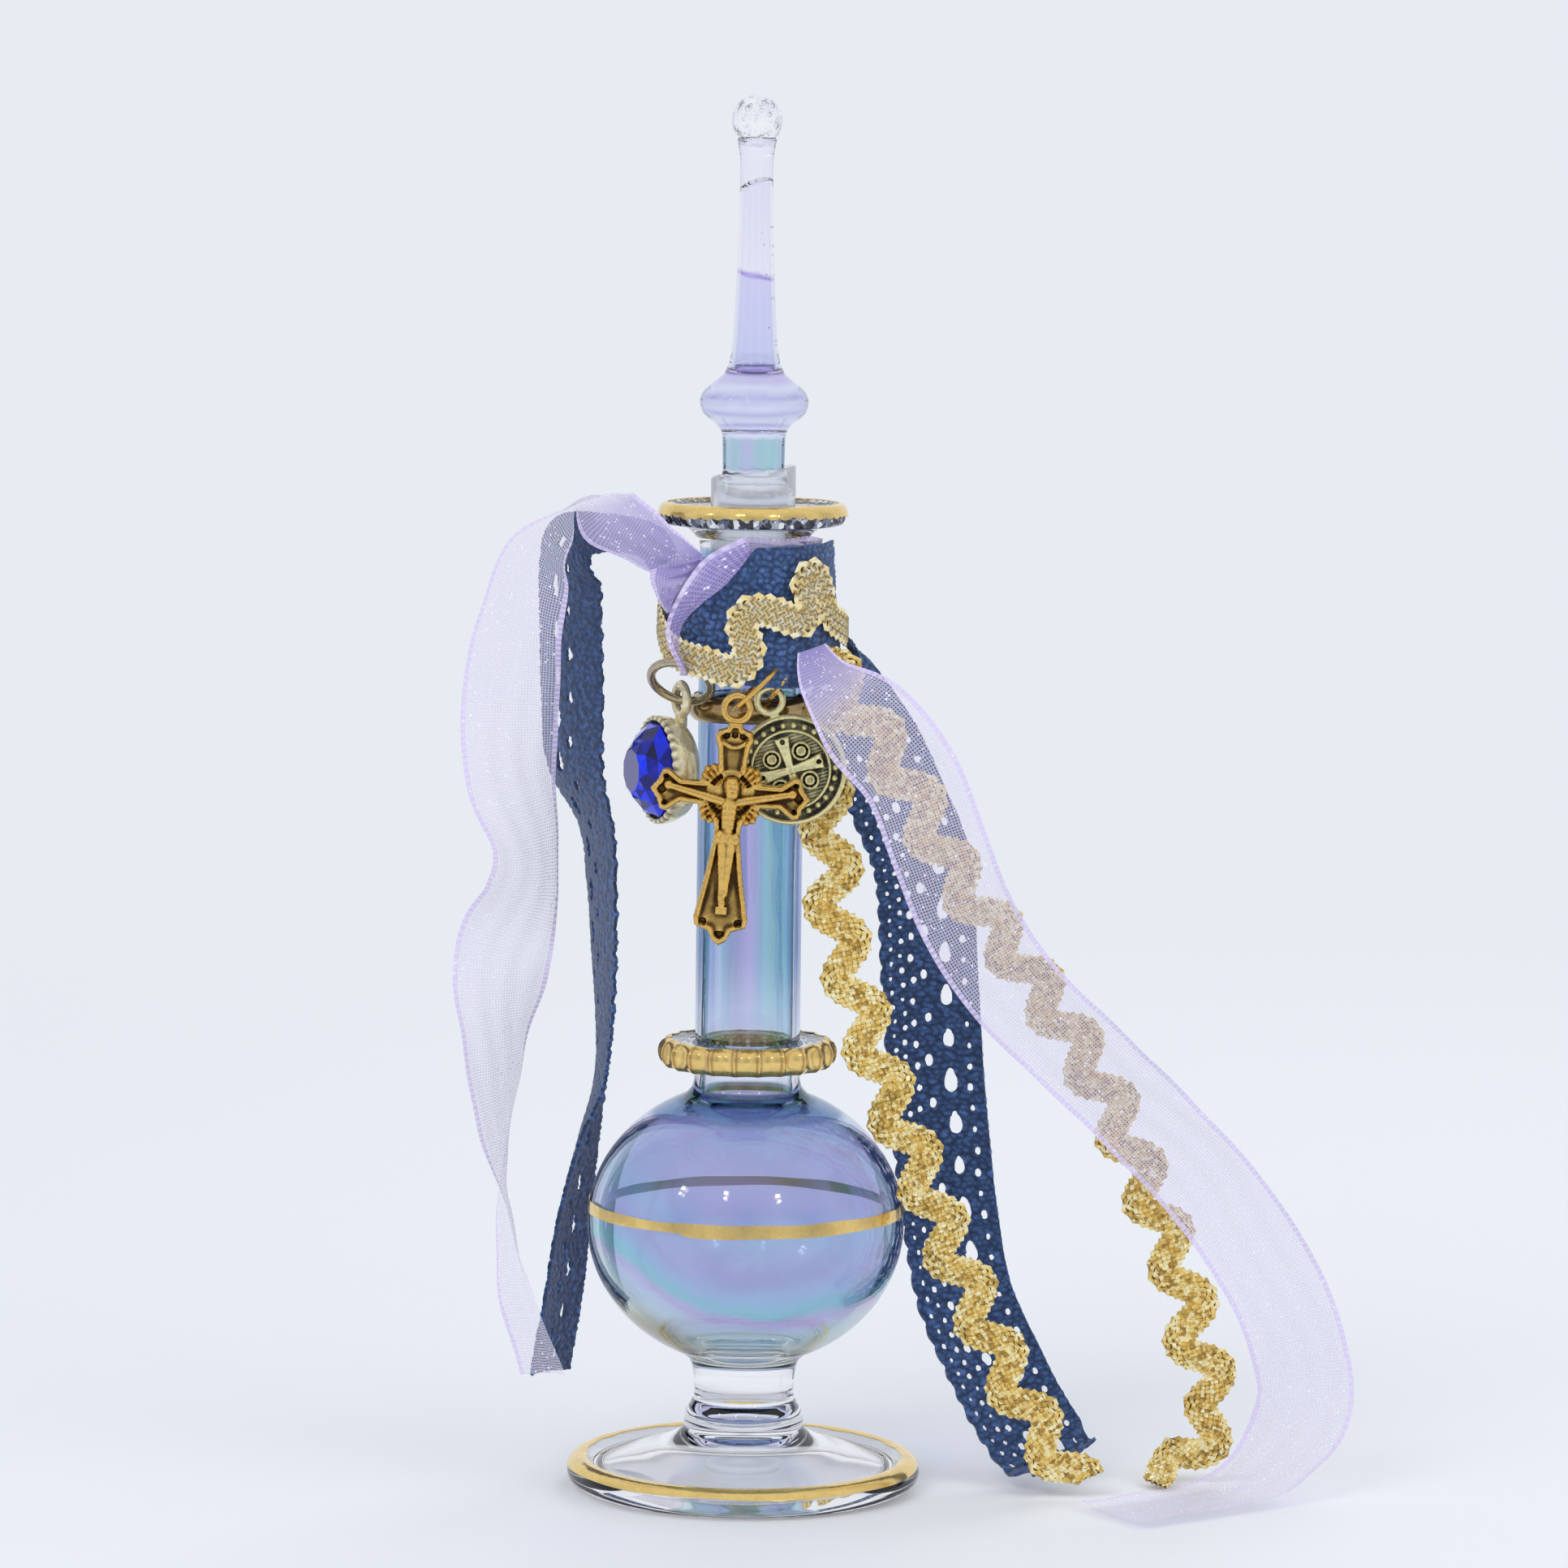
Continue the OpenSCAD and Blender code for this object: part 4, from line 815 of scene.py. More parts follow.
class BOTTLE_OT_closure(bpy.types.Operator):
    """Clear sleeve, hollow stopper and seedy finial ball"""
    bl_idname = "bottle.closure"
    bl_label = "Closure"

    def execute(self, context):
        sizes = context.scene.bottle_sizes
        profile = [[4.42, 111.7], [4.6, 111.5], [5.0, 111.5], [5.2, 111.7], [5.2, 118], [5.2, 125.6], [5.05, 125.8],
                   [4.55, 125.8], [4.42, 125.6], [4.42, 118], [4.42, 111.7]]
        piece = turned("sleeve_tube", profile, 96)
        co = points(piece)
        co[:, 2] += step(0.118, 0.1256, co[:, 2]) * co[:, 0] * math.tan(math.radians(8.8))
        set_points(piece, co)
        dress(piece, "sleeve", "sleeve_plastic", "tubing", "sleeve")

        knob, k = sizes.knob_r / MM, 134.3
        spire = [[3.27, 0.034], [2.95, 0.072], [2.78, 0.108], [2.58, 0.21], [2.33, 0.383], [2.18, 0.556],
                 [2.03, 0.785], [2.02, 0.905], [2.15, 0.954], [2.42, 1]]
        outer = [[3.82, 112.5], [4.12, 113.1], [4.3, 123.2], [4.3, 124.6], [3.9, 125.4], [3.9, 127.5],
                 [3.96, k - 4.3], [4.1, k - 3.5], [knob - 1.9, k - 2.7], [knob - 0.75, k - 1.8], [knob - 0.2, k - 1],
                 [knob, k], [knob - 0.15, k + 0.7], [knob - 0.55, k + 1.4], [knob - 1.3, k + 2.1], [4.3, k + 2.9],
                 [3.72, k + 3.45]] + [[r, 137.75 + 28.35 * t] for r, t in spire]
        piece = turned("stopper_glass", np.vstack([[[0, 112.5]], smooth(outer, 4), [[2.2, 166.5], [1.2, 166.9], [0, 167]]]), 128)
        r, a, z = polar(piece)
        cut_band = step(125.5, 126.2, z) * step(130.6, 129.8, z)
        from_polar(piece, r * (1 - 0.025 * cut_band * (0.5 + 0.5 * np.cos(a * 12))), a, z)
        hollow = smooth([[0.05, 137.4], [1.5, 137.2], [2.45, 137.6], [2.62, 138.6], [2.42, 140], [2.2, 142], [2.0, 145.5],
                         [1.88, 149], [1.76, 153.5], [1.62, 158], [1.5, 160.4], [1.1, 161.2], [0.5, 161.5],
                         [0.0, 161.55]], 4)
        hollow[:1, 0] = 0
        air = turned("stopper_air", hollow, 96)
        co = points(air)
        co[:, 2] += co[:, 0] * 0.35 * step(0.158, 0.161, co[:, 2])
        set_points(air, co)
        with editing(air):
            bpy.ops.mesh.select_all(action="SELECT")
            bpy.ops.mesh.flip_normals()
        join(piece, air, *bubbles("spire_bubble", [
            ((2.5 - 0.036 * (z - 140)) * np.array([math.cos(t), math.sin(t), 0]) + [0, 0, z], r) for z, t, r in zip(
                140 + 17 * scatter(range(22), 21), 0.2 - 1.6 * scatter(range(22), 22) ** 2,
                0.07 + 0.06 * scatter(range(22), 23))]))
        dress(piece, "stopper", "glass", "stopper_glass", "stopper")

        ball_r = sizes.ball_r
        centre = Vector((0, 0, 168.5 * MM))
        piece = start(bpy.ops.mesh.primitive_uv_sphere_add, "finial_glass", segments=64, ring_count=40,
                      radius=ball_r, location=centre)
        bpy.ops.object.transform_apply()
        ways = unit(np.stack([scatter(range(sizes.seeds), salt) - 0.5 for salt in (3, 4, 5)], axis=1))
        reach = ball_r / MM * (0.6 + 0.24 * scatter(range(sizes.seeds), 6))
        spots = ways * reach[:, None] + [0, 0, 168.5]
        join(piece, *bubbles("seed", zip(spots, 0.15 + 0.23 * scatter(range(sizes.seeds), 7) ** 2)))
        dress(piece, "stopper", "glass", "clear_glass", "finial_ball")
        repaint(piece, "seed_glass", lambda r, z: np.hypot(r, z - 168.5) < 0.975 * ball_r / MM)
        return {"FINISHED"}


# Ribbon, lace and ric-rac

RIBBON_LEFT = [[-6.3, -9.8, 115.1, 85, 0.22, 90], [-8.8, -9, 115.6, 85, 0.42, 90], [-11.4, -8.5, 116.7, 85, 0.52, 90],
               [-14, -8, 118.5, 85, 0.6, 90], [-16.9, -7.1, 120.2, 85, 0.68, 75], [-20.3, -6.2, 122.5, 85, 0.9, 0],
               [-23.6, -5.6, 119, 114, 1, 0], [-26.6, -5, 114.5, 138, 1, 0], [-28.6, -4.5, 106.5, 153, 1, 0],
               [-29.5, -3.4, 97, 178, 1, 0], [-29, -3.8, 88, 205, 1, 0], [-27, -4, 80, 228, 1, 0],
               [-27.5, -3.6, 74, 222, 1, 0], [-30, -3, 66.5, 186, 1, 0], [-30.5, -2, 56.5, 226, 1, 0],
               [-30.5, -1, 45.5, 250, 1, 0], [-30, -1, 39, 268, 1, 0], [-29, -1, 30, 286, 1, 0],
               [-28, -1, 24, 294, 1, 0], [-26, -1, 18, 301, 1, 0], [-24.5, -1, 13.5, 302, 1, 0]]
RIBBON_RIGHT = [[7.3, -10.4, 105, 0, 0.3], [9.2, -12.6, 101.3, 0, 0.6], [13.9, -13.9, 96.5, 0, 1],
                [19.4, -14, 90, 0, 1], [23.1, -13.5, 81, 0, 1], [26.6, -12, 72.5, 0, 1], [32.5, -10, 63.5, 0, 1],
                [42.5, -7, 53.5, 0, 1], [49, -5, 47, 0, 1], [58.5, -2, 36.5, 0, 1], [66, 0, 25, 0, 1],
                [69.5, 1, 15, -5, 1], [69.5, 0, 9.5, -15, 1], [66.5, -2.5, 4.5, -30, 1], [61.5, -6.5, 1.2, -42, 1],
                [53.5, -12.5, 0.7, -50, 1], [45, -18.5, 0.6, -54, 1]]
LACE_LEFT = [[-10.75, -5.3, 114.8, 130, 0.3, 90], [-12.2, -5, 117, 130, 0.36, 90], [-14.4, -4, 117.9, 130, 0.36, 90],
             [-17.6, -1.9, 118.1, 130, 0.38, 85], [-20.7, 0.7, 117.7, 130, 0.48, 55], [-22.5, 3, 115.6, 130, 0.85, 25],
             [-22.9, 4.6, 112.2, 130, 1, 8], [-22.8, 5.4, 106, 130, 1, 0], [-22.6, 5.6, 98.5, 130, 1, 0],
             [-22.2, 6.4, 88.5, 126, 1, 0], [-19.5, 7.3, 80.5, 112, 1, 0], [-18.8, 6.6, 73, 108, 1, 0],
             [-18.5, 7, 63, 104, 1, 0], [-18.5, 9, 53, 96, 1, 0], [-19, 10.5, 48, 90, 1, 0],
             [-20.2, 11.8, 42.5, 81, 1, 0], [-22, 12.2, 32.5, 73, 1, 0], [-23.3, 11.2, 22, 69, 1, 0],
             [-25, 10.5, 11.5, 68, 1, 0]]
LACE_RIGHT = [[11.2, 0.4, 105.8, 98, 0.3], [12.3, 2, 103.4, 98, 0.36], [13.2, 4.8, 98.5, 50, 0.7],
              [14.5, 6.5, 92.5, 18, 1], [18.5, 7.5, 84, 8, 1],
              [21.5, 8.5, 76, 5, 1], [22.5, 9.5, 63, 4, 1], [23.5, 10.5, 49.5, 5, 1], [24.5, 11, 40, 6, 1],
              [25.5, 10.5, 32, 8, 1], [27.5, 8, 22, 8, 1], [32, 5.5, 12.5, 6, 1], [34.5, 4, 8, 5, 1],
              [37.5, 2, 4, 4, 1], [40, 0, 3, 4, 1]]
RICRAC_FRONT = [[7, -8, 98.6], [7.4, -8.4, 95.8], [8.2, -8.5, 91], [10, -8.5, 81], [10.5, -7.5, 72.5], [12.5, -7, 65],
                [15, -6.5, 56.5], [18.5, -6.5, 47], [22, -6.5, 39], [25, -5, 31], [28.5, -4, 23.5], [32.5, -4, 15],
                [36.5, -4.5, 8], [39.5, -5.5, 4], [41.5, -6.5, 1.4]]
RICRAC_BACK = [[8.7, -8.9, 103.4], [13.9, -12.1, 96.5], [19.5, -12.3, 88], [24, -11, 79.5], [30, -9, 71],
               [37.5, -5.5, 60.5], [44, -3, 50], [49, -0.5, 39], [52.5, 1, 30.5], [55, 1, 23.5], [56, 0.5, 17.5],
               [58.5, 1.5, 11.5], [57.5, 2.5, 6], [54.8, 2.5, 2.4], [50.5, 0.5, 1.2]]
# Turns of the ric-rac round the lace: way round from the front in degrees, and height
RICRAC_TURNS = [[-106, 109.5], [-84, 107.8], [-62, 105], [-43, 103.7], [-27, 103.2], [-10, 102.3], [-1, 104.6],
                [-6, 107.7], [-2, 109.5], [11, 109.6], [23, 108.7], [35, 108.3], [41, 110.3], [35, 112.2],
                [37, 113.6], [46, 113.7], [53, 111.5], [58, 108.7], [80, 107], [104, 106.5], [140, 108], [180, 109],
                [220, 108], [250, 109]]
WRAP = (0, -1)


def hang(piece, stations, width, bow, x, y, lift):
    """Lays a flat strip along a route of places, facings, shares of its width and tilts; y runs from 0 to 1."""
    p = smooth(stations, 12)
    heading = along(p[:, :3])
    side = across(heading, facing(p[:, 3], p[:, 5] if p.shape[1] > 5 else 0))
    s = run(p[:, :3])
    at = y * s[-1]
    half = width / 2 * between(at, s, p[:, 4])
    c = x / (width / 2)
    normal = between(at, s, np.cross(heading, side))
    place = between(at, s, p[:, :3]) + between(at, s, side) * (half * c)[:, None]
    set_points(piece, (place + normal * (bow * half * (c**2 - 1 / 3) + lift)[:, None]) * MM)


def route_length(stations):
    return run(smooth(stations, 12)[:, :3])[-1]


def organza_tail(name, stations, width, bow):
    length = route_length(stations)
    piece, u, v = grid(name, 28, int(length / 0.5))
    x, y = (u - 0.5) * width, v * length
    note(piece, "flat", np.stack([x, y, 0 * x], axis=1))
    ripple = 0.12 * np.sin(x * 1.9 + 1.5 * np.sin(y * 0.21)) + 0.15 * np.sin(y * 0.55 + x * 0.4)
    route = smooth(stations, 12)
    share = np.interp(y, run(route[:, :3]), route[:, 4])
    note(piece, "gather", np.clip(1.2 - share, 0, 1) * step(1, 0.7, share))
    hang(piece, stations, width, bow, x, v, ripple * step(0, 8, y))
    return piece


def lace_depth(x, y, columns=6):
    """How far inside a hole, or past the scalloped edge, each flat point of the lace lies."""
    deep = -5.75 - 0.4 * np.abs(np.cos(np.pi * y / 2.75)) - x
    holes = ((2.0, 5.5, 0.0, 0.70, 1.35, 0.3), (-0.5, 5.5, 2.75, 0.52, 0.8, 0), (-2.1, 2.75, 0.6, 0.38, 0.5, 0),
             (4.4, 2.75, 1.2, 0.33, 0.5, 0), (-3.4, 1.83, 0.3, 0.31, 0.38, 0), (-4.7, 1.83, 1.2, 0.27, 0.34, 0))
    for column, pitch, phase, rx, ry, taper in holes[:columns]:
        k = np.round((y - phase) / pitch)
        grow = 0.8 + 0.4 * scatter(k, column)
        dy = (y - phase - k * pitch) / (ry * grow)
        dx = (x - column - 0.3 * (scatter(k, column + 9) - 0.5)) / (rx * grow * (1 + taper * np.clip(dy, -1, 1)))
        deep = np.maximum(deep, np.where(y > 16, (1 - np.hypot(dx, dy)) * rx, -1))
    return deep


def lace_tail(name, stations, width, thick, bow, columns):
    length = route_length(stations)
    cell = 0.24
    piece, u, v = grid(name, int(width / cell), int(length / cell))
    set_points(piece, np.stack([(u - 0.5) * width, v * length, 0 * u], axis=1))
    cut(piece, lambda x, y: lace_depth(x, y, columns), cell)
    flat = points(piece)
    x, y = flat[:, 0], flat[:, 1]
    lump = lumps(x, y * 1.2, 0.85)
    note(piece, "flat", flat)
    note(piece, "lump", lump)
    hang(piece, stations, width, bow, x, y / length, 0.32 * lump)
    modify(piece, "SOLIDIFY", thickness=thick * MM, offset=0)
    return piece


def braid(name, path, side, width, thick, threads):
    """A flat braid along a path: threads cross it to and fro, over and under each other, on a dark core strip; the
    strip's brown in the gaps and the darkening of threads where they pass under are painted shade.
    """
    beat = 2 * width / threads / 4
    s = run(path)
    at = np.arange(0, s[-1], beat)
    place, side = between(at, s, path), unit(between(at, s, side))
    heading = along(place)
    side = across(heading, side)
    normal = np.cross(heading, side)
    rows = len(at)
    verts, faces, core_and_shade = [], [], []

    def ribbon(c, h, half, deep, inner):
        first = sum(len(v) for v in verts)
        turn = np.arctan(np.gradient(c, beat) * (width / 2))[:, None]
        out = side * np.cos(turn) - heading * np.sin(turn)
        middle = place + side * (c * width / 2)[:, None] + normal * h[:, None]
        verts.append(np.stack([middle + out * half * u + normal * deep * v for u, v in (
            (-1, 0), (-0.7, 1), (0.7, 1), (1, 0), (0.7, -1), (-0.7, -1))], axis=1).reshape(-1, 3))
        k = np.arange(rows - 1)[:, None] * 6 + first
        for j in range(6):
            faces.append(np.hstack([k + j, k + (j + 1) % 6, k + 6 + (j + 1) % 6, k + 6 + j]))
        core_and_shade.append(np.repeat(inner, 6))

    for i in range(threads):
        phase = at / (2 * width) + i / threads
        swing = 1 - 4 * np.abs(phase % 1 - 0.5)
        way = np.clip(5 * np.sin(TURN * phase), -1, 1)
        over = np.cos(TURN * threads * phase) * way
        # Threads are darkened where they pass under another: painted shade.
        ribbon(swing * 0.9, over * thick * 0.3, 0.68 * width / threads, thick * 0.14, np.clip(-0.9 * over, 0, 0.8))
    ribbon(0 * at, 0 * at, width * 0.44, thick * 0.10, 0 * at + 1)
    mesh = bpy.data.meshes.new(name)
    mesh.from_pydata((np.vstack(verts) * MM).tolist(), [], np.vstack(faces).tolist())
    piece = bpy.data.objects.new(name, mesh)
    bpy.context.collection.objects.link(piece)
    note(piece, "core_and_shade", np.concatenate(core_and_shade))
    return piece


def ricrac_path(stations, wave_h, wave_l):
    """The waving centre line of a hanging ric-rac and its side direction."""
    p = smooth(stations, 40)
    side = across(along(p), np.array([[1.0, 0, 0]]))
    return p + side * (wave_h * np.sin(TURN * run(p) / wave_l))[:, None], side


class BOTTLE_OT_ribbon(bpy.types.Operator):
    """Organza round the neck, its knot, loop, hanger and two tails"""
    bl_idname = "bottle.ribbon"
    bl_label = "Organza"

    def execute(self, context):
        width = context.scene.bottle_dressing.ribbon_w / MM
        dress(organza_tail("organza_tail_left", RIBBON_LEFT, width, 0.14), "bottle", "organza", "organza",
              "ribbon_tail_left")
        dress(organza_tail("organza_tail_right", RIBBON_RIGHT, width, 0.08), "bottle", "organza", "organza",
              "ribbon_tail_right")

        piece, u, v = grid("organza_band", 200, 30)
        a = (u - 0.5) * TURN
        top = np.interp(np.degrees(a), [-180, -120, -90, -75, -50, -30, -8, 0, 25, 50, 180],
                        [116, 111.5, 110, 111, 114, 116.3, 118.2, 118.4, 118, 118.4, 116])
        z = 102.2 + v * (top - 102.2)
        r = np.interp(z, [102.2, 103.4, 107, 112, 116.6, 118.1], [8.3, 8.6, 8.7, 8.6, 8.4, 8.5])
        r = r + 0.12 * np.sin(a * 9 + z * 0.9) + 0.08 * np.sin(a * 23 - z * 0.6)
        from_polar(piece, r, a, z, WRAP)
        note(piece, "flat", np.stack([z - top + 6, a * 8.6, 0 * a], axis=1))
        dress(piece, "bottle", "organza", "organza_folds", "ribbon_band")

        outer = smooth([[-0.9, -10.6, 118.5], [-5.3, -11.1, 116.2], [-7.7, -11.5, 113.4], [-9.6, -11.9, 109.9],
                        [-10.4, -12.2, 107.2], [-9.9, -12.3, 104.9], [-9, -12, 103.2], [-8.6, -11.3, 101.9],
                        [-8.7, -10.2, 101.5], [-8.5, -9.25, 101.95], [-8, -8.7, 103], [-7.5, -8.4, 104.6],
                        [-7.1, -8.2, 106.2]], 8)
        inner = smooth([[-0.1, -10.6, 116.4], [-2.0, -11.1, 114], [-3.7, -11.4, 112.2], [-6, -11.7, 110.4],
                        [-8.2, -12, 108], [-8.7, -12.2, 105.2], [-8.1, -12, 103.2], [-7.7, -11.3, 101.9],
                        [-7.7, -10.2, 101.5], [-7.55, -9.25, 101.95], [-7, -8.7, 103], [-6.4, -8.4, 104.6],
                        [-5.8, -8.2, 106.2]], 8)
        piece, u, v = grid("organza_loop", 20, 96)
        t = np.linspace(0, 1, len(outer))
        a, b = between(v, t, outer), between(v, t, inner)
        place = a + (b - a) * u[:, None]
        place[:, 1] -= 0.35 * np.sin(np.pi * u) * step(0.6, 0.4, v) + 0.12 * np.sin(u * 19 + v * 9)
        set_points(piece, place * MM)
        wide = np.linalg.norm(b - a, axis=1)
        note(piece, "flat", np.stack([u * wide - 6, v * 22, 0 * u], axis=1))
        dress(piece, "bottle", "organza", "organza_folds", "ribbon_loop")

        tip = smooth([[-12.2, -9.2, 114.3], [-12.3, -9.7, 113.1], [-11.9, -9.9, 112], [-11.2, -10.1, 110.5],
                      [-10.2, -10.3, 109.1]], 8)
        root = smooth([[-5.4, -10, 116.1], [-6.7, -10.2, 114.7], [-7.8, -10.5, 113.2], [-8.8, -10.8, 111.6],
                       [-9.5, -11, 109.8]], 8)
        piece, u, v = grid("organza_knot", 64, 28)
        t = np.linspace(0, 1, len(tip))
        a, b = between(u, t, root), between(u, t, tip)
        place = a + (b - a) * v[:, None]
        place[:, 1] -= (1.3 * np.sin(np.pi * v) ** 0.7 + 0.3 * np.sin(u * 26 + 2 * v) * np.sin(np.pi * np.minimum(v + 0.1, 1)))
        set_points(piece, place * MM)
        note(piece, "flat", np.stack([v * 5 + 0.9, u * 9, 0 * u], axis=1))
        modify(piece, "SOLIDIFY", thickness=0.12 * MM, offset=0)
        dress(piece, "bottle", "organza", "organza_folds", "ribbon_knot")

        route = smooth([[-3.8, -8, 104.8], [-2.2, -9.3, 102.8], [0, -10.15, 101.6], [2, -10.1, 101.3],
                        [4.3, -9.35, 101.2], [6.2, -8.3, 101.7], [7.2, -6.9, 103.2], [7.2, -5.6, 104.9]], 8)
        piece, u, v = grid("organza_hanger", 12, 80)
        t = np.linspace(0, 1, len(route))
        heading = along(route)
        side = across(heading, np.array([[0, 0, 1.0]]))
        up = between(v, t, side)
        out = between(v, t, np.cross(heading, side))
        a = u * TURN
        r = 0.34 * (1 + 0.12 * np.sin(a * 3 + v * 40))
        set_points(piece, (between(v, t, route) + up * (r * np.cos(a))[:, None] + out * (r * np.sin(a))[:, None]) * MM)
        note(piece, "flat", np.stack([a - 5.8, v * 20, 0 * v], axis=1))
        tidy_faces(piece)
        dress(piece, "bottle", "organza", "organza_folds", "ribbon_hanger")
        return {"FINISHED"}


class BOTTLE_OT_lace(bpy.types.Operator):
    """Navy crochet lace round the ribbon, with two tails"""
    bl_idname = "bottle.lace"
    bl_label = "Lace"

    def execute(self, context):
        sizes = context.scene.bottle_dressing
        width, thick = sizes.lace_w / MM, sizes.lace_t / MM
        dress(lace_tail("lace_strip_left", LACE_LEFT, width, thick, 0.12, 2), "bottle", "lace", "lace", "lace_tail_left",
              angle=60)
        dress(lace_tail("lace_strip_right", LACE_RIGHT, width, thick, 0.1, 6), "bottle", "lace", "lace",
              "lace_tail_right", angle=60)

        piece, u, v = grid("lace_wrap", 330, 88)
        a = (u - 0.5) * TURN
        turn = np.degrees(a)
        top = np.interp(turn, [-180, -120, -90, -65, -46, -21, -2, 3, 25, 90, 180],
                        [114.5, 109.5, 108.4, 108.9, 109.5, 112.3, 116.1, 117.1, 117.3, 117.5, 114.5])
        low = np.interp(turn, [-180, -90, -49, -41, -26, -11, 0, 20, 180],
                        [101, 104.4, 104.2, 103.6, 102.6, 101.2, 100.5, 100.2, 101])
        z = low + (top - low) * v
        lump = lumps(a * 10.3 + 0.35 * z, z * 1.1, 0.78)
        r = np.interp(z, [100.4, 104, 110, 116.6], [11.25, 10.45, 9.85, 9.45])
        from_polar(piece, r + 0.08 + 0.34 * lump, a, z, WRAP)
        note(piece, "flat", np.stack([a * 10.3, z, 0 * z], axis=1))
        note(piece, "lump", lump)
        tidy_faces(piece)
        modify(piece, "SOLIDIFY", thickness=0.4 * MM, offset=0)
        dress(piece, "bottle", "lace", "lace", "lace_band", angle=60)
        return {"FINISHED"}


class BOTTLE_OT_ricrac(bpy.types.Operator):
    """Gold ric-rac braid: one turn round the lace and two hanging tails"""
    bl_idname = "bottle.ricrac"
    bl_label = "Ric-rac"

    def execute(self, context):
        sizes = context.scene.bottle_dressing
        width, thick = sizes.braid_w / MM, sizes.braid_t / MM
        for name, stations, node_name in (("ricrac_front", RICRAC_FRONT, "ricrac_tail_front"),
                                          ("ricrac_back", RICRAC_BACK, "ricrac_tail_back")):
            path, side = ricrac_path(stations, sizes.wave_h / MM, sizes.wave_l / MM)
            piece = braid(name, path, side, width, thick, sizes.threads)
            dress(piece, "bottle", "ricrac", "lurex", node_name, angle=20)
        turns = np.array(RICRAC_TURNS)
        a, z = np.radians(turns[:, 0]), turns[:, 1]
        r = np.interp(z, [100.4, 104, 110, 116.6], [11.6, 10.8, 10.2, 9.8]) + 0.95
        path = smooth(np.stack([r * np.sin(a) + WRAP[0], -r * np.cos(a) + WRAP[1], z], axis=1), 24)
        out = unit(np.stack([path[:, 0] - WRAP[0], path[:, 1] - WRAP[1], 0 * path[:, 2]], axis=1))
        piece = braid("ricrac_wrap", path, np.cross(along(path), out), width, thick, sizes.threads - 2)
        dress(piece, "bottle", "ricrac", "lurex_wrap", "ricrac_band", angle=20)
        return {"FINISHED"}


# Charms

def stand_up(centre, turn):
    """A charm drawn flat, with its eye at the origin and its front towards +Z, stands up facing the viewer."""
    return (Matrix.Translation(Vector(centre) * MM) @ Matrix.Rotation(math.radians(turn), 4, "Y")
            @ Matrix.Rotation(math.radians(90), 4, "X"))


def eyelet(name, r, wire):
    return start(bpy.ops.mesh.primitive_torus_add, name, major_radius=r * MM, minor_radius=wire * MM,
                 major_segments=96, minor_segments=16)


def inside(outline, x, y):
    """How far inside a closed outline each point lies; less than zero outside."""
    p = np.asarray(outline, float)
    near, odd = np.full_like(x, 1e9), np.zeros(x.shape, bool)
    for (ax, ay), (bx, by) in zip(p, np.roll(p, -1, axis=0)):
        ex, ey = bx - ax, by - ay
        t = np.clip(((x - ax) * ex + (y - ay) * ey) / (ex * ex + ey * ey), 0, 1)
        near = np.minimum(near, np.hypot(x - ax - t * ex, y - ay - t * ey))
        if ey:
            odd ^= ((ay > y) != (by > y)) & (x < ax + (y - ay) * ex / ey)
    return np.where(odd, near, -near)


def limb(x, y, a, b, ra, rb):
    """Height of a tapering round limb over the field, from a to b."""
    ex, ey = b[0] - a[0], b[1] - a[1]
    t = np.clip(((x - a[0]) * ex + (y - a[1]) * ey) / (ex * ex + ey * ey), 0, 1)
    d, r = np.hypot(x - a[0] - t * ex, y - a[1] - t * ey), ra + (rb - ra) * t
    return np.sqrt(np.maximum(r * r - d * d, 0))


def bead(x, y, cx, cy, r, rise=1.0):
    """Height of a round or pressed dome over the field."""
    return np.sqrt(np.maximum(r * r - (x - cx)**2 - (y - cy)**2, 0)) * rise


def casting(name, low, high, cell, outline, height, back, field):
    """A cast charm: a grid cut to its outline, raised by its height, closed flat behind, dark at its field's height."""
    piece, u, v = grid(name, int((high[0] - low[0]) / cell), int((high[1] - low[1]) / cell))
    set_points(piece, np.stack([low[0] + u * (high[0] - low[0]), low[1] + v * (high[1] - low[1]), 0 * u], axis=1))
    cut(piece, lambda x, y: -outline(x, y), cell)
    flat = points(piece)
    x, y = flat[:, 0], flat[:, 1]
    edge = np.clip(outline(x, y) / 0.4, 0, 1)
    top = height(x, y)
    around = [height(x + r * math.cos(k), y + r * math.sin(k))
              for r in (0.3, 0.6) for k in np.arange(0, TURN, TURN / 8)]
    recess = np.clip((np.mean(around, axis=0) - top) * 4.5 + 0.55 * step(field + 0.14, field, top), 0, 1)
    note(piece, "recess", recess * step(0, 0.6, edge))
    count = len(flat)
    modify(piece, "SOLIDIFY", thickness=0.1, offset=-1)
    co = points(piece)
    co[:count] = np.stack([x, y, top - 0.35 * (1 - edge) ** 2], axis=1)
    co[count:2 * count] = np.stack([x, y, back + 0.25 * (1 - edge) ** 2], axis=1)
    set_points(piece, co * MM)
    with editing(piece):
        bpy.ops.mesh.select_all(action="SELECT")
        bpy.ops.mesh.normals_make_consistent(inside=False)
    return piece


CROSS_HALF = [[0.7, -1.7], [1, -2.4], [2.1, -2.8], [2.35, -3.6], [1.9, -5], [1.6, -8.2], [2.6, -9], [6, -9],
              [7.6, -7.8], [8.4, -8], [8.8, -9.2], [9.7, -10.4], [8.8, -11.6], [8.4, -12.8], [7.6, -13], [6, -11.8],
              [2.6, -12], [1.6, -14.5], [1.65, -16], [2.3, -20.5], [3.3, -25.6], [3.1, -26.6], [1.4, -27.2],
              [0.9, -28.3], [0, -28.9]]
CROSS_LINE = CROSS_HALF + [[-x, y] for x, y in CROSS_HALF[-2::-1]]
CROSS_MID = (0.0, -10.5)


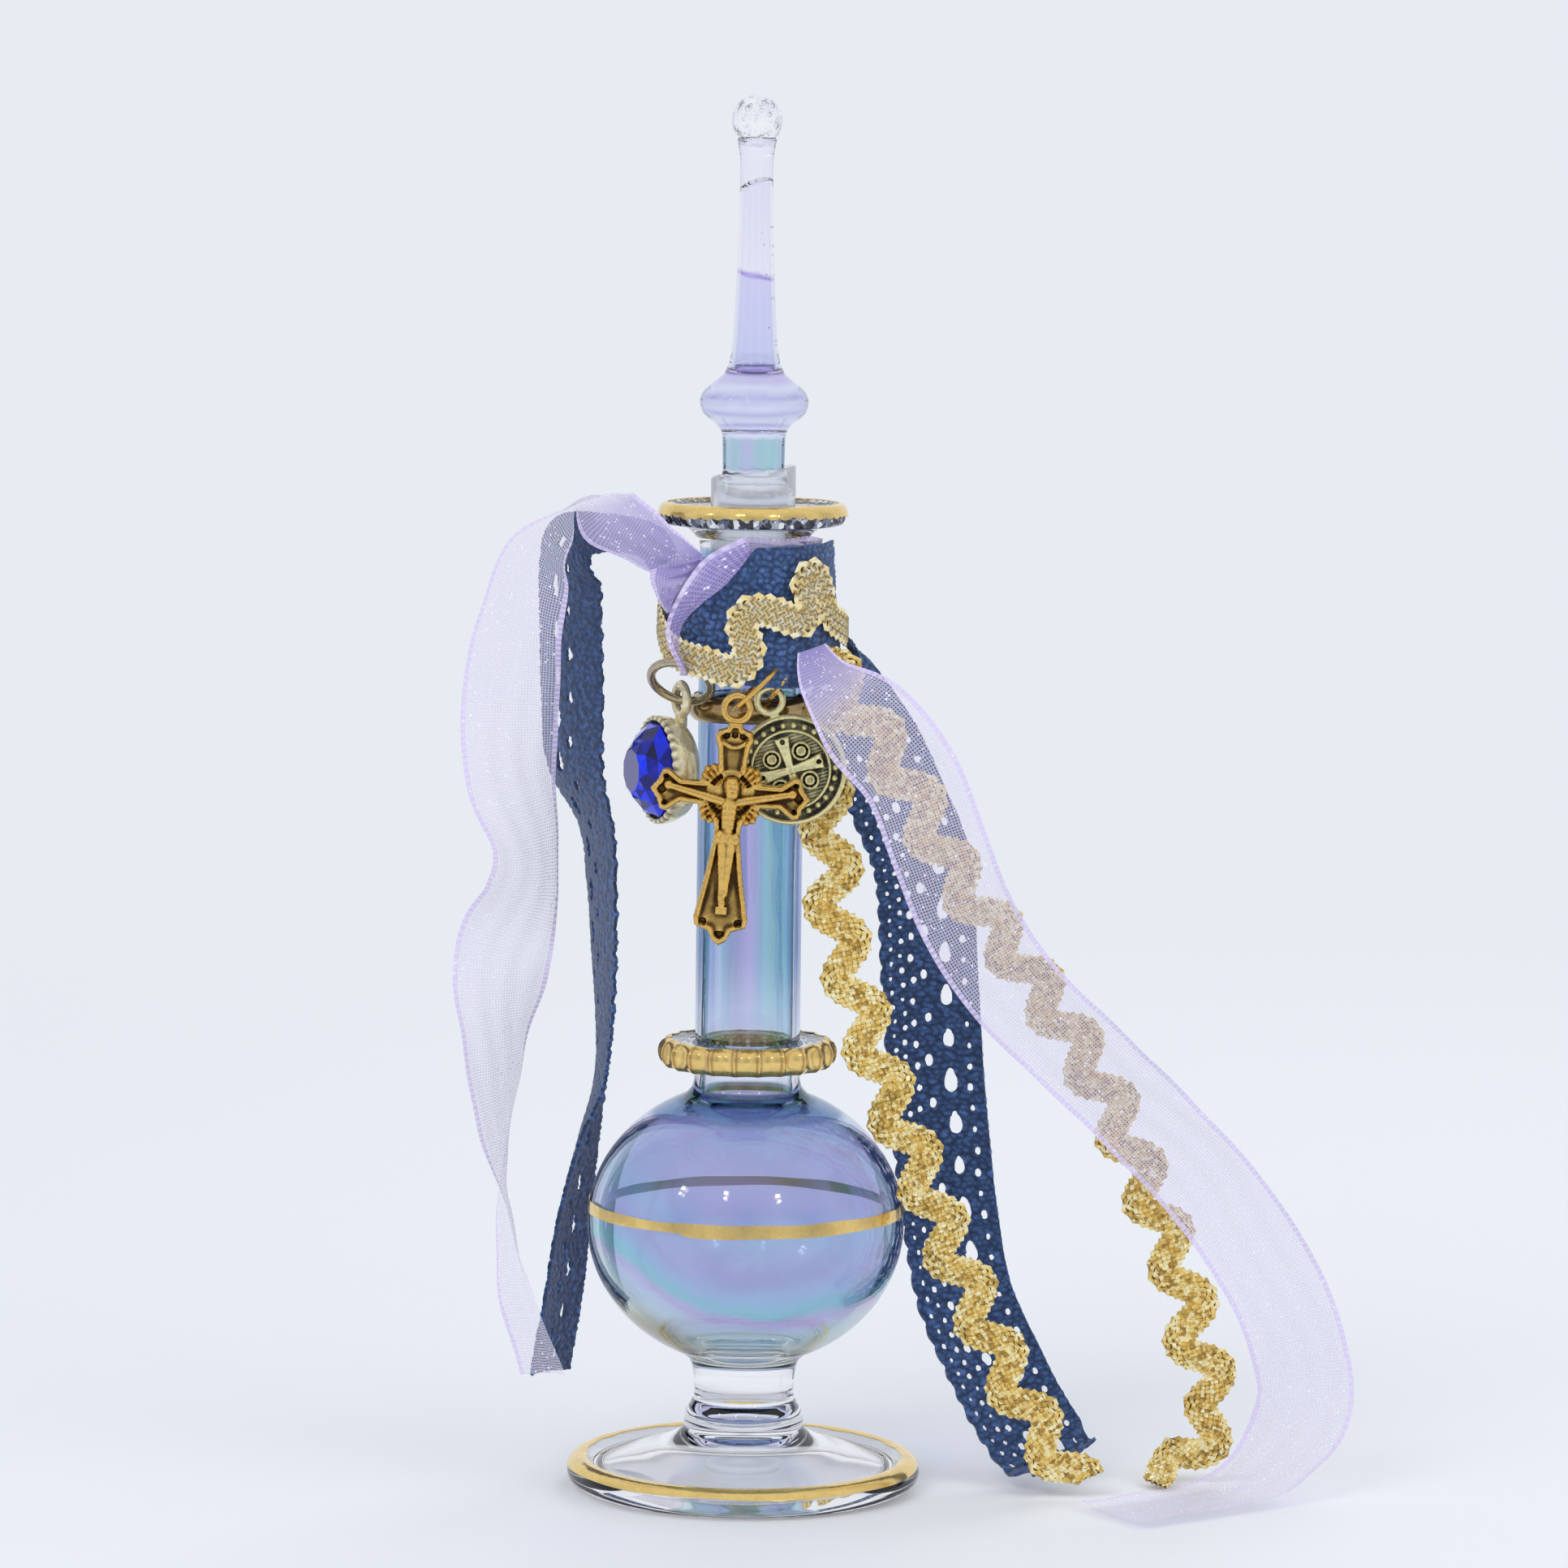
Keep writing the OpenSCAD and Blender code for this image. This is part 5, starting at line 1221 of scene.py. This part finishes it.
def cross_beads():
    """The bead-ended rays in the four corners of the crossing: place and radius."""
    for corner in (45, 135, 225, 315):
        for k in (-2, -1, 0, 1, 2):
            a = math.radians(corner + k * 11)
            reach = 4.15 - 0.28 * abs(k)
            yield CROSS_MID[0] + reach * math.cos(a), CROSS_MID[1] + reach * math.sin(a), 0.46


def cross_edge(x, y):
    halo = 3.75 - np.hypot(x - CROSS_MID[0], y - CROSS_MID[1])
    edge = np.maximum(inside(CROSS_LINE, x, y), halo)
    for bx, by, r in cross_beads():
        edge = np.maximum(edge, r - np.hypot(x - bx, y - by))
    return edge


def cross_height(x, y):
    """Relief of the crucifix over its middle plane."""
    d = inside(CROSS_LINE, x, y)
    away = np.hypot(x - CROSS_MID[0], y - CROSS_MID[1])
    arm = step(2.6, 3.4, away)
    h = 0.42 + 0.33 * step(0.8, 0.5, d) * arm * (d > 0)
    h = h - 0.22 * step(0.55, 0.9, d) * arm
    angle = np.degrees(np.arctan2(y - CROSS_MID[1], x - CROSS_MID[0])) % 90
    rays = step(24, 30, angle) * step(66, 60, angle)
    h = h + rays * step(1.6, 2.0, away) * (0.16 * np.cos(np.radians((angle - 45) * 360 / 11)) + 0.1) * (away < 4.2)
    h = h - 0.4 * step(0.32, 0.18, np.abs(away - 2.5)) * rays
    for bx, by, r in cross_beads():
        dome = bead(x, y, bx, by, r, 0.9)
        h = np.where(dome > 0, np.maximum(h, 0.35 + dome), h)
    for cx in (-0.95, 0, 0.95):
        h = h - 0.5 * step(0.42, 0.28, np.hypot(x - cx, y + 3.35 - 0.12 * (cx == 0)))
    h = h + 0.28 * step(0.3, 0.12, np.abs(np.hypot(x, y + 3.0) - 1.75)) * (y < -3.4)
    for cx, cy, rx, ry in ((-2.15, -26.1, 0.45, 0.45), (2.15, -26.1, 0.45, 0.45), (0, -27.5, 0.62, 0.36),
                           (8.3, -10.4, 0.5, 0.5), (-8.3, -10.4, 0.5, 0.5), (7.9, -8.8, 0.3, 0.3), (7.9, -12, 0.3, 0.3),
                           (-7.9, -8.8, 0.3, 0.3), (-7.9, -12, 0.3, 0.3)):
        h = h - 0.45 * step(1.15, 0.75, np.hypot((x - cx) / rx, (y - cy) / ry))
    body = [(0.45, limb(x, y, (-0.8, -11.35), (-7.3, -9.9), 0.58, 0.42)),
            (0.45, limb(x, y, (0.8, -11.35), (7.3, -9.9), 0.58, 0.42)),
            (0.42, bead(x, y, -7.5, -9.85, 0.6)), (0.42, bead(x, y, 7.5, -9.85, 0.6)),
            (0.5, limb(x, y, (0, -11.7), (0, -14.6), 1.05, 0.78) - 0.07 * np.cos(y * 8.5) * (np.abs(x) < 0.75)),
            (0.5, limb(x, y, (-0.75, -15.7), (0.8, -15.9), 0.98, 0.9) + 0.08 * np.sin(x * 7 + y * 5)),
            (0.5, limb(x, y, (-0.45, -16.5), (-0.15, -22.6), 0.68, 0.42)),
            (0.5, limb(x, y, (0.5, -16.5), (0.25, -22.6), 0.68, 0.42)),
            (0.5, limb(x, y, (-0.15, -22.8), (0.0, -23.8), 0.48, 0.5)),
            (0.6, limb(x, y, (0.1, -9.2), (0.2, -10.3), 0.95, 0.86)),
            (0.8, limb(x, y, (0.2, -9.45), (0.34, -10.5), 0.66, 0.55))]
    for base, form in body:
        h = np.where(form > 0.09, np.maximum(h, base + form), h)
    block = np.minimum(0.75 - np.abs(x), 0.5 - np.abs(y + 24.6))
    h = np.where(block > 0, np.maximum(h, 0.85), h)
    for ex in (0.0, 0.55):
        h = h - 0.16 * step(0.24, 0.1, np.hypot((x - ex) / 1.2, y + 9.55))
    h = h + 0.12 * step(0.22, 0.08, np.hypot((x - 0.28) * 1.3, (y + 9.78) * 0.7))
    h = h - 0.12 * step(0.26, 0.1, np.hypot((x - 0.28) * 0.8, (y + 10.12) * 2.2))
    return h


def medal_height(x, y):
    """Relief of the medal over its middle plane, about its own centre."""
    away, a = np.hypot(x, y), np.arctan2(y, x)
    h = np.full_like(x, 0.3)
    h = h + 0.42 * step(6.1, 6.3, away)
    h = h + 0.3 * step(0.22, 0.1, np.abs(away - 4.75))
    pitch = TURN / 26
    s = 5.42 * ((a + pitch / 2) % pitch - pitch / 2)
    h = h + np.sqrt(np.maximum(0.36**2 - s**2 - (away - 5.42)**2, 0)) * 1.1
    h = h + 0.07 * np.sign(np.sin(y * 16)) * (away < 4.5)
    for u, v in ((x, y), (y, x)):
        half = 0.55 + 0.5 * np.clip(np.abs(v) / 4.2, 0, 1)**2
        arm = np.minimum(half - np.abs(u), 4.1 - np.abs(v))
        h = np.maximum(h, 0.3 + 0.38 * step(0.0, 0.16, arm) - 0.05 * step(0.3, 0.42, arm))
        for end in (-3.55, 3.55):
            eye = np.hypot(u, v - end)
            h = np.where(eye < 0.55, 0.75 - 0.6 * step(0.34, 0.22, eye), h)
    for k in range(4):
        cx, cy = 2.62 * math.cos((k + 0.5) * TURN / 4), 2.62 * math.sin((k + 0.5) * TURN / 4)
        round_r = np.hypot(x - cx, y - cy)
        boss = 0.45 + 0.25 * step(0.2, 0.08, np.abs(round_r - 1.0)) + 0.25 * step(0.2, 0.08, np.abs(round_r - 0.5))
        h = np.where(round_r < 1.2, boss - 0.3 * step(0.14, 0.06, np.abs(round_r - 0.75)), h)
    return h


class BOTTLE_OT_rings(bpy.types.Operator):
    """The three jump rings that the charms hang on"""
    bl_idname = "bottle.rings"
    bl_label = "Jump rings"

    def execute(self, context):
        for name, body, slot, finish, centre, r, wire, lean, yaw, node_name in (
                ("gem_ring_wire", "gem_ring", "antique_pale", "ring_metal", (-8.5, -7.5, 100.5), 3.75, 0.55, 43.7, 70.8,
                 "gem_jump_ring"),
                ("crucifix_ring_wire", "crucifix_ring", "gold_wire", "wire_gold", (0.46, -11.46, 100.05), 3.52, 0.28,
                 43.4, 180, "crucifix_jump_ring"),
                ("medal_ring_wire", "medal_ring", "gold_wire", "wire_gold", (3.6, -9.57, 100.54), 2.13, 0.28, 53.8,
                 180, "medal_jump_ring")):
            piece = eyelet(name, r, wire)
            piece.data.transform(Matrix.Translation(Vector(centre) * MM) @ Matrix.Rotation(math.radians(yaw), 4, "Z")
                                 @ Matrix.Rotation(math.radians(lean), 4, "Y"))
            dress(piece, body, slot, finish, node_name)
        return {"FINISHED"}


class BOTTLE_OT_gem(bpy.types.Operator):
    """Faceted cobalt stone in a crimped cup with its bail"""
    bl_idname = "bottle.gem"
    bl_label = "Gem"

    def execute(self, context):
        place = (Matrix.Translation(Vector((-8.5, -5.06, 89.6)) * MM) @ Matrix.Rotation(math.radians(203), 4, "Z")
                 @ Matrix.Rotation(math.radians(90), 4, "Y") @ Matrix.Translation((0, 0, 3.2 * MM)))
        cup = smooth([[0, -4.2], [3.6, -4.2], [5.5, -3.3], [6.45, -1.7], [6.6, -0.6], [6.55, 0.1], [6.25, 0.25],
                      [6.0, 0.1], [6.0, -1.2], [0, -1.2]], 4)
        cup[:, 0] = np.maximum(cup[:, 0], 0)
        piece = turned("gem_cup_metal", cup, 192)
        r, a, z = polar(piece)
        rim = step(-0.9, 0.0, z) * (r > 5.8)
        teeth = 0.5 + 0.5 * np.cos(a * 32)
        note(piece, "recess", np.clip(rim * (1 - teeth) * 0.9 + step(-2, -3.4, z) * 0.1, 0, 1))
        from_polar(piece, r + rim * 0.14 * (teeth - 0.5), a, z + rim * 0.22 * (teeth - 0.5))
        piece.data.transform(place)
        bail = eyelet("gem_bail", 1.85, 0.55)
        bail.data.transform(Matrix.Translation(Vector((-8.5, -5.06, 98.1)) * MM)
                            @ Matrix.Rotation(math.radians(203), 4, "Z") @ Matrix.Rotation(math.radians(90), 4, "Y"))
        foot = start(bpy.ops.mesh.primitive_cylinder_add, "gem_bail_foot", vertices=32, radius=0.75 * MM, depth=1.7 * MM)
        foot.data.transform(Matrix.Translation(Vector((-8.5, -5.06, 95.4)) * MM))
        join(piece, bail, foot)
        dress(piece, "gem", "antique_pale", "cup_metal", "gem_cup")

        piece = start(bpy.ops.mesh.primitive_circle_add, "gem_stone_cut", vertices=10, radius=5.9 * MM, fill_type="NGON")
        half = TURN / 20
        with editing(piece, "EDGE"):
            bpy.ops.mesh.select_all(action="SELECT")
            bpy.ops.transform.translate(value=(0, 0, -1.1 * MM))
            for rise, grow, turn in ((1.35, 1.0, 0), (1.35, 0.83, half), (1.0, 0.74, half), (0.7, 0.73, half)):
                bpy.ops.mesh.extrude_edges_move(TRANSFORM_OT_translate={"value": (0, 0, rise * MM)})
                bpy.ops.transform.resize(value=(grow, grow, 1), center_override=(0, 0, 0))
                if turn:
                    bpy.ops.transform.rotate(value=turn, orient_axis="Z", center_override=(0, 0, 0))
            bpy.ops.mesh.edge_face_add()
            bpy.ops.mesh.select_all(action="SELECT")
            bpy.ops.mesh.quads_convert_to_tris()
            bpy.ops.mesh.normals_make_consistent(inside=False)
        # Facets get random brightness values and the table a set value: painted light and shade, read by the stone's
        # material.
        tables = np.array([face.normal.z > 0.95 for face in piece.data.polygons])
        shade = np.where(tables, 1.3, 0.95 * scatter(np.arange(len(tables)), 11))
        piece.data.attributes.new("facet_shade", "FLOAT", "FACE").data.foreach_set("value", shade.astype(np.float32))
        piece.data.transform(place)
        dress(piece, "gem", "blue_stone", "cobalt", "gem_stone", angle=3)
        return {"FINISHED"}


class BOTTLE_OT_crucifix(bpy.types.Operator):
    """Cast crucifix with its figure, rays and recessed panels"""
    bl_idname = "bottle.crucifix"
    bl_label = "Crucifix"

    def execute(self, context):
        piece = casting("crucifix_cast", (-9.9, -29.1), (9.9, -1.5), 0.11, cross_edge, cross_height, -0.75, 0.24)
        join(piece, eyelet("crucifix_eye", 1.55, 0.42))
        piece.data.transform(stand_up((-1.6, -13.55, 97.9), 4))
        dress(piece, "crucifix", "antique_gold", "crucifix_gold", "crucifix", angle=50)
        return {"FINISHED"}


class BOTTLE_OT_medal(bpy.types.Operator):
    """Cast round medal with a cross, roundels and a ring of beads"""
    bl_idname = "bottle.medal"
    bl_label = "Medal"

    def execute(self, context):
        piece = casting("medal_cast", (-6.9, -6.9), (6.9, 6.9), 0.1, lambda x, y: 6.75 - np.hypot(x, y), medal_height,
                        -0.7, 0.36)
        piece.data.transform(Matrix.Translation((0, -8.8 * MM, 0)))
        stem = start(bpy.ops.mesh.primitive_cube_add, "medal_stem", size=1)
        stem.data.transform(Matrix.Translation((0, -1.9 * MM, 0)) @ Matrix.Diagonal((1.2 * MM, 1.2 * MM, 0.8 * MM, 1)))
        modify(stem, "BEVEL", width=0.25 * MM, segments=3)
        join(piece, eyelet("medal_eye", 1.55, 0.42), stem)
        piece.data.transform(stand_up((2.3, -10.2, 98.6), -17.6))
        dress(piece, "medal", "antique_pale", "medal_gold", "medal", angle=50)
        return {"FINISHED"}


# Stage

class BOTTLE_OT_stage(bpy.types.Operator):
    """Pale floor, soft lamps and the camera at the photograph's angle"""
    bl_idname = "bottle.stage"
    bl_label = "Stage"

    def execute(self, context):
        pale = (0.80, 0.83, 0.89, 1)
        floor = start(bpy.ops.mesh.primitive_circle_add, "floor", vertices=128, radius=1.6, fill_type="NGON")
        floor.data.transform(Matrix.Translation((0, 0, -0.0003)))
        tree, shader = finish_of("floor", Base_Color=(0.90, 0.92, 0.95, 1), Roughness=0.7)
        glow = node(tree, "Emission", None, {0: pale, 1: 1.0})
        away = node(tree, "VectorMath", {"operation": "LENGTH"}, {0: here(tree)}).outputs["Value"]
        both = node(tree, "MixShader", None, {0: soft(tree, away, 0.12, 0.6), 1: shader.outputs[0], 2: glow.outputs[0]})
        tree.links.new(both.outputs[0], tree.nodes["Material Output"].inputs[0])
        floor.data.materials.append(FINISHES["floor"])

        world = bpy.data.worlds.new("room")
        context.scene.world = world
        world.use_nodes = True
        tree = world.node_tree
        back = tree.nodes["Background"]
        way = split(tree, node(tree, "TexCoord").outputs["Generated"])
        angle = sums(tree, "ARCTAN2", way[0], way[1])
        side = ramp(tree, sums(tree, "DIVIDE", sums(tree, "ABSOLUTE", angle), math.pi),
                    [(0.0, (0.86, 0.89, 0.94)), (0.3, (0.80, 0.83, 0.89)), (0.42, (0.52, 0.56, 0.66)),
                     (0.55, (0.80, 0.83, 0.90)), (0.72, (0.42, 0.46, 0.58)), (0.86, (0.70, 0.74, 0.82)),
                     (1.0, (0.40, 0.44, 0.56))])
        room = blend(tree, soft(tree, way[2], 0.2, 0.9), side, (0.8, 0.82, 0.86, 1))
        path = node(tree, "LightPath").outputs
        seen = sums(tree, "MAXIMUM", path["Is Glossy Ray"], path["Is Transmission Ray"])
        shade = blend(tree, seen, (0.58, 0.60, 0.64, 1), room)
        tree.links.new(blend(tree, path["Is Camera Ray"], shade, pale), back.inputs[0])

        for name, place, power, wide in (("key", (-0.45, -0.55, 0.75), 2.6, 0.5), ("fill", (0.6, -0.35, 0.5), 1.1, 0.5),
                                         ("rim", (0.25, 0.6, 0.55), 1.2, 0.4),
                                         ("lamp_left", (-0.6, -0.40, 0.575), 0.06, 0.05),
                                         ("lamp_mid", (-0.21, -0.68, 0.63), 0.06, 0.05),
                                         ("lamp_right", (0.34, -0.64, 0.575), 0.06, 0.05),
                                         ("lamp_low_left", (-0.63, -0.42, 0.515), 0.04, 0.04),
                                         ("lamp_low_mid", (-0.22, -0.72, 0.57), 0.04, 0.04),
                                         ("lamp_low_right", (0.36, -0.67, 0.515), 0.04, 0.04)):
            bpy.ops.object.light_add(type="AREA", location=place)
            lamp = context.object
            lamp.name = name
            lamp.data.energy, lamp.data.size = power, wide
            lamp.visible_glossy = lamp.visible_transmission = wide < 0.1
            lamp.rotation_euler = (Vector((0, 0, 0.07)) - Vector(place)).to_track_quat("-Z", "Y").to_euler()

        bpy.ops.object.camera_add(location=(4.15 * MM, -0.78, 0.172))
        camera = context.object
        camera.rotation_euler = (Matrix.Rotation(math.radians(83.805), 3, "X")
                                 @ Matrix.Rotation(math.radians(0.647), 3, "Z")).to_euler()
        camera.data.lens, camera.data.sensor_width = 146.46, 36
        camera.data.clip_start = 0.01
        context.scene.camera = camera
        context.scene.view_settings.view_transform = "Standard"
        return {"FINISHED"}


class BOTTLE_PT_panel(bpy.types.Panel):
    """Sizes, colours and the steps of the build"""
    bl_idname = "BOTTLE_PT_panel"
    bl_label = "Holy water bottle"
    bl_space_type = "VIEW_3D"
    bl_region_type = "UI"
    bl_category = "Bottle"

    def draw(self, context):
        for group in (context.scene.bottle_sizes, context.scene.bottle_dressing, context.scene.bottle_colours):
            box = self.layout.box()
            for name in group.__annotations__:
                box.prop(group, name)
        for operator in OPERATORS:
            self.layout.operator(operator.bl_idname)


GROUPS = (BottleSizes, DressingSizes, BottleColours)
OPERATORS = (BOTTLE_OT_glass, BOTTLE_OT_gilding, BOTTLE_OT_closure, BOTTLE_OT_ribbon, BOTTLE_OT_lace,
             BOTTLE_OT_ricrac, BOTTLE_OT_rings, BOTTLE_OT_gem, BOTTLE_OT_crucifix, BOTTLE_OT_medal, BOTTLE_OT_stage)


def register():
    for kind in (*GROUPS, *OPERATORS, BOTTLE_PT_panel):
        bpy.utils.register_class(kind)
    bpy.types.Scene.bottle_sizes = PointerProperty(type=BottleSizes)
    bpy.types.Scene.bottle_dressing = PointerProperty(type=DressingSizes)
    bpy.types.Scene.bottle_colours = PointerProperty(type=BottleColours)


def unregister():
    del bpy.types.Scene.bottle_sizes, bpy.types.Scene.bottle_dressing, bpy.types.Scene.bottle_colours
    for kind in (BOTTLE_PT_panel, *OPERATORS[::-1], *GROUPS[::-1]):
        bpy.utils.unregister_class(kind)


def main():
    register()
    make_finishes(bpy.context.scene.bottle_colours)
    steps = bpy.ops.bottle
    for build in (steps.glass, steps.gilding, steps.closure, steps.ribbon, steps.lace, steps.ricrac, steps.rings,
                  steps.gem, steps.crucifix, steps.medal, steps.stage):
        build()


if __name__ == "__main__":
    main()
